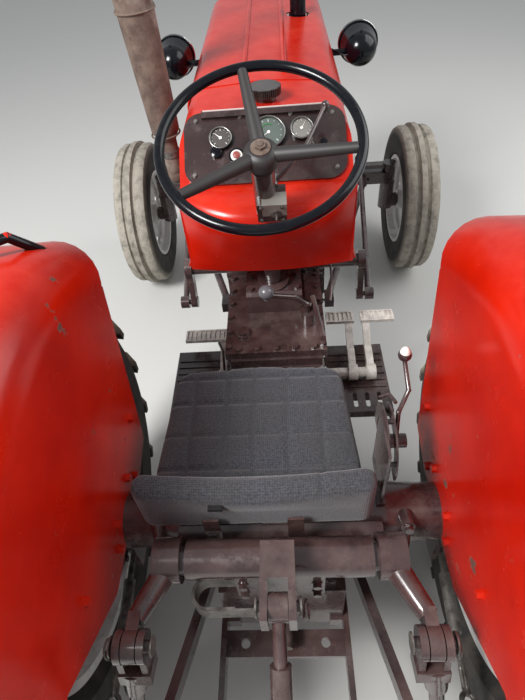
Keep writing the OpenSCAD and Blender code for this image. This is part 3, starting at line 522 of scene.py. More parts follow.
class Shape:
    """A mesh under construction from simple solids, in millimetres of the design frame."""

    def __init__(self) -> None:
        """Starts an empty mesh."""
        self.mesh = bmesh.new()

    def _take(self, verts: Iterable, matrix: Matrix) -> "Shape":
        """Moves new vertices into place and returns this shape."""
        bmesh.ops.transform(self.mesh, matrix=matrix, verts=list(verts))
        return self

    @staticmethod
    def _frame(a: Vector, b: Vector) -> Matrix:
        """Gives the matrix that lays an upright bar from a to b."""
        return Matrix.Translation((a + b) / 2) @ (b - a).to_track_quat("Z", "Y").to_matrix().to_4x4()

    def box(self, lo: Sequence[float], hi: Sequence[float], turn: Matrix | None = None) -> "Shape":
        """Adds a box.

        Args:
            lo: Low corner.
            hi: High corner.
            turn: Matrix applied after the box is in place.

        Returns:
            This shape.
        """
        lo, hi = Vector(lo), Vector(hi)
        made = bmesh.ops.create_cube(self.mesh, size=1)["verts"]
        matrix = Matrix.Translation((lo + hi) / 2) @ Matrix.Diagonal((*(hi - lo), 1))
        return self._take(made, (turn or Matrix.Identity(4)) @ matrix)

    def rod(self, a: Sequence[float], b: Sequence[float], r: float, r2: float | None = None, n: int = 20) -> "Shape":
        """Adds a round bar or a cone between two points.

        Args:
            a: Start point.
            b: End point.
            r: Radius at the start.
            r2: Radius at the end, if other than at the start.
            n: Sides.

        Returns:
            This shape.
        """
        a, b = Vector(a), Vector(b)
        made = bmesh.ops.create_cone(
            self.mesh, cap_ends=True, segments=n, radius1=r, radius2=r if r2 is None else r2, depth=(b - a).length
        )["verts"]
        return self._take(made, self._frame(a, b))

    def ball(self, c: Sequence[float], r: float, squash: Sequence[float] = (1, 1, 1), n: int = 16) -> "Shape":
        """Adds a ball or an ellipsoid.

        Args:
            c: Centre.
            r: Radius.
            squash: Stretch along each axis.
            n: Sides round the equator.

        Returns:
            This shape.
        """
        made = bmesh.ops.create_uvsphere(self.mesh, u_segments=n, v_segments=n // 2, radius=r)["verts"]
        return self._take(made, Matrix.Translation(Vector(c)) @ Matrix.Diagonal((*squash, 1)))

    def lathe(self, a: Sequence[float], axis: Sequence[float], profile: Sequence[tuple], n: int = 36) -> "Shape":
        """Adds a body of revolution.

        Args:
            a: Point on the axis where the profile's height is 0.
            axis: Direction of the axis.
            profile: Radius and height of each point.
            n: Sides.

        Returns:
            This shape.
        """
        turn = Vector(axis).to_track_quat("Z", "Y").to_matrix().to_4x4()
        turns = [2 * math.pi * i / n for i in range(n)]
        rings = [[self.mesh.verts.new((r * math.cos(t), r * math.sin(t), h)) for t in turns] for r, h in profile]
        for low, high in zip(rings, rings[1:]):
            for i in range(n):
                self.mesh.faces.new((low[i], low[(i + 1) % n], high[(i + 1) % n], high[i]))
        self.mesh.faces.new(reversed(rings[0]))
        self.mesh.faces.new(rings[-1])
        return self._take([v for loop in rings for v in loop], Matrix.Translation(Vector(a)) @ turn)

    def pipe(self, points: Sequence[Sequence[float]], r: float, n: int = 12, closed: bool = False) -> "Shape":
        """Adds a round bar swept through points.

        Args:
            points: The centre line.
            r: Radius of the bar.
            n: Sides.
            closed: True for a ring.

        Returns:
            This shape.
        """
        line = [Vector(p) for p in points]
        count = len(line)
        rings = []
        side = None
        for i, point in enumerate(line):
            before = line[i - 1] if i or closed else point
            after = line[(i + 1) % count] if i < count - 1 or closed else point
            along = (after - before).normalized()
            if side is None:
                side = along.orthogonal().normalized()
            side = (side - along * side.dot(along)).normalized()
            other = along.cross(side)
            rings.append([
                self.mesh.verts.new(point + r * (math.cos(t) * side + math.sin(t) * other))
                for t in (2 * math.pi * k / n for k in range(n))
            ])
        pairs = list(zip(rings, rings[1:])) + ([(rings[-1], rings[0])] if closed else [])
        for low, high in pairs:
            shift = min(range(n), key=lambda s: (low[0].co - high[s].co).length) if low is rings[-1] else 0
            for i in range(n):
                j, k = (i + 1) % n, (i + shift) % n
                self.mesh.faces.new((low[i], low[j], high[(k + 1) % n], high[k]))
        if not closed:
            self.mesh.faces.new(list(reversed(rings[0])))
            self.mesh.faces.new(rings[-1])
        return self

    def skin(self, grid: Sequence[Sequence[Sequence[float]]], thick: float) -> "Shape":
        """Adds a curved sheet of metal over a grid of points.

        Args:
            grid: Columns of points on the outer face.
            thick: Thickness of the sheet, towards the front.

        Returns:
            This shape.
        """
        outer, inner = (
            [[self.mesh.verts.new((x, y + shift, z)) for x, y, z in column] for column in grid]
            for shift in (0.0, thick)
        )
        wide, tall = len(grid), len(grid[0])
        for i in range(wide - 1):
            for j in range(tall - 1):
                self.mesh.faces.new((outer[i][j], outer[i + 1][j], outer[i + 1][j + 1], outer[i][j + 1]))
                self.mesh.faces.new((inner[i][j + 1], inner[i + 1][j + 1], inner[i + 1][j], inner[i][j]))
        rim = [(i, 0) for i in range(wide)] + [(wide - 1, j) for j in range(1, tall)]
        rim += [(i, tall - 1) for i in range(wide - 2, -1, -1)] + [(0, j) for j in range(tall - 2, 0, -1)]
        for (i, j), (k, m) in zip(rim, rim[1:] + rim[:1]):
            self.mesh.faces.new((outer[i][j], inner[i][j], inner[k][m], outer[k][m]))
        return self

    def bolt(self, c: Sequence[float], axis: Sequence[float], across: float = 19, height: float = 10) -> "Shape":
        """Adds a hexagon head on a washer.

        Args:
            c: Place on the seat's face.
            axis: Direction out of the face.
            across: Size across the flats.
            height: Height of the head.

        Returns:
            This shape.
        """
        c, axis = Vector(c), Vector(axis).normalized()
        corner = across / math.sqrt(3)
        self.rod(c - axis, c + axis * 2.2, across * 0.66, n=18)
        return self.rod(c + axis * 2, c + axis * (2 + height), corner, corner * 0.97, n=6)

    def make(self, name: str, finish: Finish, slot: str, body: str = CHASSIS) -> None:
        """Turns the shape into a piece of the tractor.

        Args:
            name: Name of the piece.
            finish: Its surface.
            slot: The record's material slot; not used.
            body: The moving body that it rides on.
        """
        bmesh.ops.recalc_face_normals(self.mesh, faces=self.mesh.faces)
        for vert in self.mesh.verts:
            vert.co = at(*vert.co)
        data = bpy.data.meshes.new(name)
        self.mesh.to_mesh(data)
        self.mesh.free()
        data.polygons.foreach_set("use_smooth", [True] * len(data.polygons))
        data.set_sharp_from_angle(angle=math.radians(PIECE_SHARP))
        made = bpy.data.objects.new(name, data)
        bpy.context.scene.collection.objects.link(made)
        data.materials.append(finish.material())
        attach(made, body)


RED, BROWN, BLACK = RedPaint(), ChassisPaint(), BlackEnamel()
RUST, SILVER, CLOTH, STEEL = RustySteel(), SilverPaint(), SeatCloth(), BareSteel()
REAR_RUBBER = TyreRubber()
# A darker copy of the chassis paint for the dash panel: painted shade, so the panel that faces the lamps and the sky
# reads darker.
SHADED_DASH_PAINT = ChassisPaint("#261616", "#342120", 0.08)
FRONT_RUBBER = TyreRubber(FRONT_Y, FRONT_R, FRONT_R - 48, "#aea79a")

SLOT_FINISH = {
    "red_paint": RED,
    "chassis_paint": BROWN,
    "black_gloss": BLACK,
    "rusty_steel": RUST,
    "silver_rim": SILVER,
    "tyre_rubber": REAR_RUBBER,
    "seat_cloth": CLOTH,
    "bare_steel": STEEL,
}
NODE_FINISH = {
    "front_tyre_left": FRONT_RUBBER,
    "front_tyre_right": FRONT_RUBBER,
    "pedals": BareSteel("#e2dad2", "#b5ada6", 0.15),
    # The dash panel takes the darker chassis paint, which is painted shade.
    "dash_panel": SHADED_DASH_PAINT,
    "fuel_cap": ChassisPaint("#241c1a", "#332927", 0.08),
}


def smooth(node: bpy.types.Object) -> None:
    """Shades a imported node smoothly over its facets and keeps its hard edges.

    Args:
        node: The node's object; its vertices stay as they are.
    """
    data = node.data
    if "custom_normal" in data.attributes:
        data.attributes.remove(data.attributes["custom_normal"])
    data.polygons.foreach_set("use_smooth", [True] * len(data.polygons))
    data.edges.foreach_set("use_edge_sharp", [False] * len(data.edges))
    weld = node.modifiers.new("weld", "WELD")
    weld.merge_threshold = WELD_M
    split = node.modifiers.new("split", "EDGE_SPLIT")
    split.split_angle = math.radians(NODE_SHARP)
    split.use_edge_sharp = False


def dress_frame() -> None:
    """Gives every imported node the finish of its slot."""
    for part in frame["record"]["subparts"]:
        node = frame["nodes"][part["node"]]
        finish = NODE_FINISH.get(part["node"], SLOT_FINISH[part["material_slot"]])
        for spot in node.material_slots:
            spot.material = finish.material()
        smooth(node)


def ring(c: Sequence[float], axis: Sequence[float], radius: float, count: int, start: float = 0.0) -> list[Vector]:
    """Spreads points evenly on a circle.

    Args:
        c: Centre of the circle.
        axis: Its normal.
        radius: Its radius.
        count: Number of points.
        start: Angle of the first point in degrees.

    Returns:
        The points.
    """
    axis = Vector(axis).normalized()
    a = axis.orthogonal().normalized() if abs(axis.x) < 0.9 else Vector((0, 1, 0))
    b = axis.cross(a)
    turns = [math.radians(start + 360 * i / count) for i in range(count)]
    return [Vector(c) + radius * (math.cos(t) * a + math.sin(t) * b) for t in turns]


@dataclass
class RoadWheels:
    """Nuts and hub caps of the wheels."""

    nut_circle_rear: float = 112.0
    lug_circle_rear: float = 306.0
    nut_circle_front: float = 70.0

    def build(self) -> None:
        """Builds both axles' wheel trim."""
        for side in Side:
            s, out = side.value, (side.value, 0, 0)
            rear, front = Shape(), Shape()
            for p in ring((s * 557, 0, REAR_R), RIGHT, self.nut_circle_rear, 8):
                rear.bolt(p, out, 27, 16)
            for p in ring((s * 595, 0, REAR_R), RIGHT, self.lug_circle_rear, 8):
                rear.bolt(p, out, 24, 12)
            rear.lathe((s * 594, 0, REAR_R), out, [(48, 0), (48, 12), (30, 22), (10, 24)])
            rear.make(f"rear_wheel_nuts_{side.word}", STEEL, "bare_steel", f"rear_wheel_{side.word}")
            for p in ring((s * 698, FRONT_Y, FRONT_R), RIGHT, self.nut_circle_front, 5):
                front.bolt(p, out, 22, 14)
            front.lathe((s * 731, FRONT_Y, FRONT_R), out, [(26, 0), (26, 8), (12, 12)])
            front.make(f"front_wheel_nuts_{side.word}", STEEL, "bare_steel", f"front_wheel_{side.word}")


@dataclass(frozen=True)
class Gauge:
    """One round instrument: its place on the panel, radius, height, card's colour and needle's angle."""

    x: float
    up: float
    r: float
    h: float
    card: str
    needle: float
    sunk: float = 3.6

    def place(self, share: float, turn: float, out: float) -> tuple[float, float, float]:
        """Gives a place over the dial's face.

        Args:
            share: Distance from its middle, as a share of its radius.
            turn: Angle in degrees from the right.
            out: Millimetres out of the face.

        Returns:
            Millimetres to the right, up the panel's slope and out of the panel.
        """
        t = math.radians(turn)
        return self.x + self.r * share * math.cos(t), self.up + self.r * share * math.sin(t), self.h - self.sunk + out


@dataclass
class Dash:
    """Dials, knobs, key and screws of the sloped panel, a pale rod along its top edge that is a painted highlight,
    and the red sheet below it.
    """

    low_y: float = 632.0
    low_z: float = 1140.0
    high_y: float = 786.0
    high_z: float = 1264.0
    thick: float = 8.3
    gauges: tuple = (
        Gauge(-112, 22, 30, 12, "#3e3835", 140),
        Gauge(12, 28, 43, 14, "#56605a", 215),
        # The third dial's pale grey card is painted reflection: it stands in for the glare on its glass.
        Gauge(96, 34, 30, 12, "#86837d", 60),
    )
    marks: int = 11
    banded: int = 1
    starter: tuple = (-72.0, -28.0)
    lock: tuple = (118.0, -14.0)
    cover_hw: float = 226.0
    cover_foot: float = 0.955
    lip_arc: tuple = (2260.0, 1366.0)
    bow_power: float = 2.6
    sheet: float = 3.0
    cells: int = 48
    profile: tuple = (
        (633, 633, 1140), (606, 618, 1142), (574, 606, 1141), (540, 600, 1136), (515, 597, 1124), (504, 596, 1106),
        (506, 596, 1080), (516, 596, 1056), (530, 596, 1028), (546, 596, 996), (560, 596, 964), (574, 596, 936),
        (585, 596, 912), (593, 596, 893),
    )

    def spot(self, x: float, up: float, out: float) -> Vector:
        """Gives a place on the panel.

        Args:
            x: Millimetres to the right.
            up: Millimetres up the slope from the panel's middle.
            out: Millimetres out of its face.

        Returns:
            The place in the design frame.
        """
        low = Vector((0, self.low_y, self.low_z))
        slope = Vector((0, self.high_y, self.high_z)) - low
        along = slope.normalized()
        return low + Vector((x, 0, 0)) + along * (slope.length / 2 + up) + self.out * (self.thick + out)

    @property
    def out(self) -> Vector:
        """Direction out of the panel's face."""
        along = Vector((0, self.high_y - self.low_y, self.high_z - self.low_z)).normalized()
        return Vector(RIGHT).cross(along)

    def build(self) -> None:
        """Builds everything on the panel and the sheet below it."""
        for index, gauge in enumerate(self.gauges):
            self._dial(gauge, index)
        white, red, black = Shape(), Shape(), Shape()
        white.lathe(self.spot(*self.starter, 9), self.out, [(15, 0), (15, 3), (11, 4.5)])
        white.make("starter_ring", Plain("#d8d6cf", 0.5), "black_gloss")
        red.lathe(self.spot(*self.starter, 13), self.out, [(9.5, 0), (9.5, 2.6), (7, 4.6), (1, 5)])
        red.make("starter_button", Plain("#8f4640", 0.45), "red_paint")
        black.lathe(self.spot(-124, -14, 6), self.out, [(15, 0), (15, 4), (11, 6), (1, 6.5)])
        a, b = self.spot(-130, -15.5, 12), self.spot(-118, -12.5, 14.5)
        black.box(Vector(map(min, a, b)), Vector(map(max, a, b)))
        black.lathe(self.spot(150, -2, 0), self.out, [(9, 0), (9, 4), (3, 5)])
        black.make("light_switch", BLACK, "black_gloss")
        key = Shape().lathe(self.spot(*self.lock, 15), self.out, [(8.5, 0), (8.5, 3), (2, 3.4)])
        key.rod(self.spot(*self.lock, 15), self.spot(*self.lock, 34), 1.6, n=8)
        key.rod(self.spot(116.8, -14, 38), self.spot(119.2, -14, 38), 11, n=20)
        for x, up in ((-176, 74), (176, 74), (-182, -70), (182, -70), (70, 78), (-60, 80)):
            key.bolt(self.spot(x, up, 0), self.out, 9, 4)
        key.make("dash_key_and_screws", STEEL, "bare_steel")
        # A pale thin rod along the panel's top edge: a painted highlight where the bent edge catches the light.
        edge = Shape().pipe([self.spot(x, 95, 10) for x in range(-156, 157, 12)], 2.3, 8)
        edge.make("dash_top_bead", Plain("#b7aaa6", 0.2), "chassis_paint")
        self._cover()

    def _cover(self) -> None:
        """Builds the bowed red sheet below the panel, which hides the steering column."""
        centre, radius = self.lip_arc
        top, foot = self.profile[0][2], self.profile[-1][2]
        grid = []
        for k in range(self.cells + 1):
            x = self.cover_hw * (2 * k / self.cells - 1)
            bow = 1 - abs(x / self.cover_hw) ** self.bow_power
            lip = centre - math.sqrt(radius**2 - x * x)
            column = []
            for middle, side, z in self.profile:
                up = (z - foot) / (top - foot)
                width = self.cover_foot + (1 - self.cover_foot) * up
                column.append((x * width, side * (1 - bow) + middle * bow, lip * (1 - up) + top * up))
            grid.append(column)
        Shape().skin(grid, self.sheet).make("cowl_rear_cover", RED, "red_paint")

    def _dial(self, gauge: Gauge, index: int) -> None:
        """Builds one dial with its card, marks, hand and rim.

        Args:
            gauge: The instrument.
            index: Its number, which ends the names of its pieces.
        """

        def on_face(share: float, turn: float, out: float) -> Vector:
            """See Gauge.place, here in the design frame."""
            return self.spot(*gauge.place(share, turn, out))

        edge = gauge.r - 4.3
        card = Shape().lathe(on_face(0, 0, -0.4), self.out, [(edge, 0), (edge, 0.5), (1, 0.6)])
        card.make(f"dial_card_{index}", Plain(gauge.card, 0.6), "black_gloss")
        ink = Shape()
        for k in range(self.marks):
            turn = 225 - 270 * k / (self.marks - 1)
            inner, thick = (0.7, 0.45) if k % 5 else (0.62, 0.75)
            ink.rod(on_face(inner, turn, 0.5), on_face(0.79, turn, 0.5), thick, n=6)
        ink.make(f"dial_marks_{index}", Plain("#f1efe8", 0.6), "black_gloss")
        hand = Shape().rod(on_face(0, 0, 1.4), on_face(0.66, gauge.needle, 1.4), 1.3, 0.4, n=8)
        hand.lathe(on_face(0, 0, 0), self.out, [(4, 0), (4, 2.4), (1, 2.8)], n=20)
        hand.make(f"dial_hand_{index}", Plain("#efece4", 0.5), "black_gloss")
        if index == self.banded:
            band = [on_face(0.5, 200 - 12 * k, 0.3) for k in range(12)]
            Shape().pipe(band, 1.6, 6).make("dial_green_band", Plain("#2f7a3c", 0.6), "black_gloss")
        loop = ring(self.spot(gauge.x, gauge.up, gauge.h), self.out, gauge.r - 2.4, 40)
        rim = Shape().pipe(loop, 2.3, 10, closed=True)
        rim.make(f"dial_rim_{index}", Plain("#8b8a86", 0.28, 0.9), "bare_steel")


@dataclass
class Steering:
    """Hub nut, boss and spoke covers of the wheel, hand throttle, and cover and fittings of the switch block."""

    y: float = 454.0
    z: float = 1298.0
    tilt: float = 23.5
    spokes: tuple = (100, -8, 216)
    switch_x: float = 14.0

    def spot(self, x: float, rear: float, up: float) -> Vector:
        """Gives a place in the wheel's frame.

        Args:
            x: Millimetres to the right.
            rear: Millimetres towards the rear in the wheel's plane.
            up: Millimetres up the column.

        Returns:
            The place in the design frame.
        """
        t = math.radians(self.tilt)
        back = Vector((0, -math.cos(t), -math.sin(t)))
        axis = Vector((0, -math.sin(t), math.cos(t)))
        return Vector((x, self.y, self.z)) + back * rear + axis * up

    def build(self) -> None:
        """Builds the trim of the wheel and its column."""
        axis = self.spot(0, 0, 1) - self.spot(0, 0, 0)
        nut = Shape().lathe(self.spot(0, 0, 26), axis, [(21, 0), (21, 3), (19, 4.2), (1, 4.4)])
        nut.rod(self.spot(0, 0, 29), self.spot(0, 0, 37), 12.5, 12, n=6)
        nut.lathe(self.spot(0, 0, 36), axis, [(6.5, 0), (6.5, 3), (5, 4), (1, 4.2)], 20)
        nut.make("steering_hub_nut", RUST, "rusty_steel", "steering_wheel")
        boss = Shape()
        for t in map(math.radians, self.spokes):
            a = self.spot(22 * math.cos(t), -22 * math.sin(t), 7)
            b = self.spot(198 * math.cos(t), -198 * math.sin(t), 41)
            boss.rod(a, b, 16.5, 11, n=20)
        outline = [(33, 0), (38, 5), (38, 26), (35, 34), (30, 39), (25, 41), (24, 42.5), (21, 42.6)]
        boss.lathe(self.spot(0, 0, -16), axis, outline)
        boss.make("steering_spoke_covers", Plain("#2c2828", 0.5), "black_gloss", "steering_wheel")
        throttle = Shape().pipe([(22, 500, 1212), (48, 506, 1236), (96, 560, 1262), (150, 690, 1300)], 4.5)
        throttle.ball((152, 695, 1301), 10)
        throttle.rod((22, 490, 1210), (22, 516, 1222), 9, n=12)
        throttle.make("hand_throttle", BROWN, "chassis_paint")
        rear = self.spot(0, 1, 0) - self.spot(0, 0, 0)
        lock, tip = self.spot(self.switch_x + 10, 42, -142), self.spot(self.switch_x + 10, 62, -142)
        switch = Shape().lathe(lock, rear, [(13, 0), (13, 4), (8, 5), (1, 5.2)]).rod(lock, tip, 2.2, n=8)
        for dx in (-24, 24):
            for down in (-24, 24):
                switch.bolt(self.spot(self.switch_x + dx, 42, -142 - down), rear, 8, 3)
        switch.make("switch_block_fittings", STEEL, "bare_steel")
        turn = Matrix.Rotation(math.pi + math.radians(self.tilt), 4, "X")
        place = Matrix.Translation(self.spot(self.switch_x, 0, 0)) @ turn
        cover = Shape().box((-22, 8, 109.2), (34.8, 43.4, 150), place)
        cover.make("switch_block_cover", Plain("#a29d95", 0.42, 0.5), "bare_steel")


# The pads swell under air pressure without gravity, and Seat.swell caps how far their cloth moves.
CLOTH_SETTINGS = {
    "vertex_group_mass": "seams",
    "use_pressure": True,
    "uniform_pressure_force": 4.0,
    "quality": 6,
    "tension_stiffness": 12,
    "compression_stiffness": 12,
    "bending_stiffness": 0.6,
}


@dataclass
class Seat:
    """Grey stuffed cushion and back roll with a black patch.

    Both are blown up as cloth over their boxes, held at the seams, and then sag as worn.
    """

    cushion_lo: tuple = (-295.0, -30.0, 684.3)
    cushion_hi: tuple = (205.0, 355.0, 782.3)
    back_lo: tuple = (-301.0, -104.0, 730.0)
    back_hi: tuple = (211.0, -30.3, 905.0)
    seams_x: tuple = (-210.0, -127.0, -56.0, 27.0, 110.0)
    seams_y: tuple = (30.0, 120.0, 216.0, 300.0)
    back_seams_x: tuple = (-190.0, 95.0)
    inset: float = 9.0
    cell: float = 5.5
    groove: float = 4.0
    seam_depth: float = 30.0
    foot: float = 70.0
    swell: float = 12.0
    steps: int = 20
    wave: float = 11.0
    wave_x: float = -50.0
    wave_w: float = 75.0
    wave_reach: float = 70.0
    hollow: float = 28.0

    def build(self) -> None:
        """Builds both pads and the patch."""
        seams = (self.seams_x, self.seams_y)
        self._pad("seat_cushion", (self.cushion_lo, self.cushion_hi), seams, 30, 24)
        self._pad("seat_back", (self.back_lo, self.back_hi), (self.back_seams_x, ()), 26, 0)
        tag = Shape().box((-137, -107, 838), (-108, -97, 847))
        tag.make("seat_black_patch", Plain("#0a0a0b", 0.5), "seat_cloth")

    def _pad(self, node: str, box: tuple, seams: tuple, edge: float, taper: float) -> None:
        """Builds the pad that shows in place of a node.

        Args:
            node: The node that it replaces.
            box: Low and high corner of the node.
            seams: Places of the seams from left to right, and from rear to front.
            edge: Radius of its edges.
            taper: Narrowing of each side towards the front.
        """
        name = f"{node}_cover"
        inset = Vector((self.inset,) * 3)
        lo, hi = Vector(box[0]) + inset, Vector(box[1]) - inset
        mesh = bmesh.new()
        bmesh.ops.create_cube(mesh, size=1)
        for vert in mesh.verts:
            narrow = taper * (vert.co.y + 0.5) * (-1 if vert.co.x > 0 else 1)
            place = (lo + hi) / 2 + Vector(a * b for a, b in zip(vert.co, hi - lo))
            vert.co = at(place.x + narrow, place.y, place.z)
        upright = [e for e in mesh.edges if abs(e.verts[0].co.z - e.verts[1].co.z) > 0.01]
        bmesh.ops.bevel(mesh, geom=upright, offset=0.001 * (edge + taper), segments=6, affect="EDGES", profile=0.5)
        level = [f for f in mesh.faces if abs(f.normal.z) > 0.9]
        rims = list(dict.fromkeys(e for f in level for e in f.edges))
        bmesh.ops.bevel(mesh, geom=rims, offset=edge / 1000, segments=4, affect="EDGES", profile=0.6)
        data = bpy.data.meshes.new(name)
        mesh.to_mesh(data)
        mesh.free()
        pad = bpy.data.objects.new(name, data)
        bpy.context.scene.collection.objects.link(pad)
        self._blow_up(pad, seams, hi.z)
        self._sag(pad, lo, hi, front=taper > 0)
        pad.data.polygons.foreach_set("use_smooth", [True] * len(pad.data.polygons))
        pad.data.materials.clear()
        pad.data.materials.append(CLOTH.material())
        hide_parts(node)
        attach(pad, CHASSIS)

    def _sag(self, pad: bpy.types.Object, lo: Vector, hi: Vector, front: bool) -> None:
        """Gives the cushion its worn wavy front edge and the back roll its hollow top.

        Args:
            pad: The pad's object.
            lo: Low corner of its box in the design frame.
            hi: High corner.
            front: True for the cushion.
        """
        for v in pad.data.vertices:
            x, y, z = v.co.x * 1000, v.co.y * 1000 + MIDDLE_Y, v.co.z * 1000
            if front:
                weight = min(max((y - hi.y) / self.wave_reach + 1, 0), 1) ** 2
                v.co.y -= weight * self.wave / 1000 * (1 - math.exp(-(((x - self.wave_x) / self.wave_w) ** 2)))
            else:
                across = (2 * x - lo.x - hi.x) / (hi.x - lo.x)
                weight = min(max((z - lo.z) / (hi.z - lo.z), 0), 1) ** 1.5
                v.co.z -= weight * self.hollow / 1000 * max(1 - across**2, 0)

    def _blow_up(self, pad: bpy.types.Object, seams: tuple, top: float) -> None:
        """Blows a pad up as cloth that its seams and its foot hold.

        Args:
            pad: The pad's object.
            seams: Places of the seams from left to right, and from rear to front.
            top: Height of its upper face.
        """
        view = bpy.context.view_layer
        view.objects.active = pad
        for made in view.objects:
            made.select_set(made is pad)
        remesh = pad.modifiers.new("remesh", "REMESH")
        remesh.mode, remesh.voxel_size = "VOXEL", self.cell / 1000
        bpy.ops.object.modifier_apply(modifier=remesh.name)
        rest = [v.co.copy() for v in pad.data.vertices]
        held = pad.vertex_groups.new(name="seams")
        for v in pad.data.vertices:
            x, y, z = v.co.x * 1000, v.co.y * 1000 + MIDDLE_Y, v.co.z * 1000
            near = min(abs(place - seam) for place, line in zip((x, y), seams) for seam in line)
            sewn = near < self.cell * 0.8 and z > top - self.seam_depth
            if sewn or z < top - self.foot:
                held.add([v.index], 1.0, "REPLACE")
            if sewn:
                v.co.z -= self.groove / 1000
        cloth = pad.modifiers.new("cloth", "CLOTH")
        for key, value in CLOTH_SETTINGS.items():
            setattr(cloth.settings, key, value)
        cloth.settings.effector_weights.gravity = 0.0
        scene = bpy.context.scene
        for step in range(1, self.steps + 1):
            scene.frame_set(step)
        shape = bpy.data.meshes.new_from_object(pad.evaluated_get(bpy.context.evaluated_depsgraph_get()))
        pad.modifiers.remove(cloth)
        old, pad.data = pad.data, shape
        bpy.data.meshes.remove(old)
        for v, start in zip(pad.data.vertices, rest):
            move = v.co - start
            if move.length > self.swell / 1000:
                v.co = start + move * (self.swell / 1000 / move.length)
        scene.frame_set(1)
        fine = pad.modifiers.new("fine", "SUBSURF")
        fine.levels = fine.render_levels = 1
        bpy.ops.object.modifier_apply(modifier=fine.name)


@dataclass
class Lamps:
    """Glass, rim, stud and lead of both headlamps."""

    x: float = 349.0
    y: float = 1618.0
    z: float = 1170.0
    r: float = 68.0

    def build(self) -> None:
        """Builds the trim of both lamps."""
        for side in Side:
            s, x, y, z, r = side.value, side.value * self.x, self.y, self.z, self.r
            rim = Shape().pipe(ring((x, y - 8, z), (0, 1, 0), r + 3, 48), 4.5, 10, closed=True)
            rim.make(f"lamp_rim_{side.word}", Plain("#c9c9c6", 0.18, 1.0), "bare_steel")
            glass = Shape().lathe((x, y - 14, z), (0, 1, 0), [(r, 0), (r * 0.9, 7), (r * 0.5, 11), (1, 12)], 40)
            glass.make(f"lamp_glass_{side.word}", ClearGlass(), "black_gloss")
            stud = Shape().lathe((x, y - 96, z + 52), (0, -0.55, 0.83), [(9, 0), (9, 4), (6, 9), (1, 10)], 16)
            stud.pipe([(x - s * 20, y - 126, z - 6), (x - s * 60, y - 110, z - 12), (s * 238, y - 90, z + 8)], 3.2)
            stud.make(f"lamp_stud_and_lead_{side.word}", BLACK, "black_gloss")


@dataclass
class Castings:
    """Bolts, plugs and plates on the gearbox and the axle housing."""

    deck: float = 715.0
    tower: float = 790.0
    housing: float = 655.0

    def build(self) -> None:
        """Builds the fasteners, in one piece for each sub-assembly."""
        cover = Shape()
        for s in (-1, 1):
            for y in range(462, 860, 64):
                cover.bolt((s * 138, y, self.deck), UP, 17, 9)
            for y in (632, 700, 768, 770):
                cover.bolt((s * 70, y, self.tower), UP, 15, 8)
            for z in range(430, 790, 60):
                cover.bolt((s * 174, 984, z), BACK, 17, 10)
        for x in (-110, -55, 0, 55, 110):
            cover.bolt((x, 450, self.deck), UP, 17, 9)
        cover.lathe((-96, 520, self.deck), UP, [(22, 0), (22, 6), (17, 7), (17, 16), (6, 18)], 24)
        cover.make("gearbox_bolts", BROWN, "chassis_paint")
        plate = Shape().box((96, 640, self.deck + 0.2), (150, 812, self.deck + 6))
        for x, y in ((104, 650), (142, 650), (104, 802), (142, 802)):
            plate.bolt((x, y, self.deck + 6), UP, 12, 6)
        plate.make("gearbox_side_plate", BROWN, "chassis_paint")
        rear = Shape()
        for s in (-1, 1):
            for y in (-176, -120, -60, 0, 60, 120, 180, 232):
                rear.bolt((s * 108, y, self.housing), UP, 15, 8)
            for p in ring((s * 424, 0, REAR_R), RIGHT, 148, 12, 12):
                rear.bolt(p, (-s, 0, 0), 16, 9)
            for z in (656, 704):
                rear.bolt((s * 76, -202, z), BACK, 17, 9)
        for p in ring((0, -190, 470), (0, 1, 0), 44, 6):
            rear.bolt(p, BACK, 13, 7)
        for p in ring((0, -190, 560), (0, 1, 0), 30, 2, 90):
            rear.bolt(p, BACK, 17, 9)
        rear.rod((-290, -40, 652), (-280, -92, 622), 17, 14).bolt((-280, -92, 622), (0.2, -0.86, -0.5), 17, 9)
        rear.rod((291, -34, 650), (291, -70, 660), 19, 16).bolt((291, -70, 660), (0, -1, 0.2), 19, 10)
        rear.pipe([(291, -72, 646), (287, -92, 632), (282, -112, 608), (279, -120, 580)], 6.5)
        rear.ball((279, -121, 576), 9)
        rear.lathe((60, -150, 738), UP, [(17, 0), (17, 8), (11, 9), (11, 18), (3, 19)], 20)
        rear.make("axle_housing_bolts", BROWN, "chassis_paint")


@dataclass
class Exhaust:
    """Seam rings and clamp of the silencer."""

    x: float = -330.0
    y: float = 1105.0
    z: float = 942.0
    lean: float = 2.5

    def build(self) -> None:
        """Builds the rings and the clamp."""
        lean = math.radians(self.lean)
        up = Vector((-math.sin(lean), 0, math.cos(lean)))
        base = Vector((self.x, self.y, self.z))
        rings = Shape()
        for height, r in ((146, 48), (497, 58.5), (588, 56.5)):
            rings.pipe(ring(base + up * height, up, r - 1.5, 40), 3, 8, closed=True)
        rings.make("silencer_seams", RUST, "rusty_steel")
        clamp = Shape().lathe(base + up * 70, up, [(31, 0), (31, 20), (28, 21)], 28)
        clamp.box((self.x - 44, self.y - 6, self.z + 72), (self.x - 26, self.y + 6, self.z + 88))
        clamp.bolt((self.x - 38, self.y - 6, self.z + 80), BACK, 13, 8)
        clamp.make("exhaust_clamp", STEEL, "bare_steel")


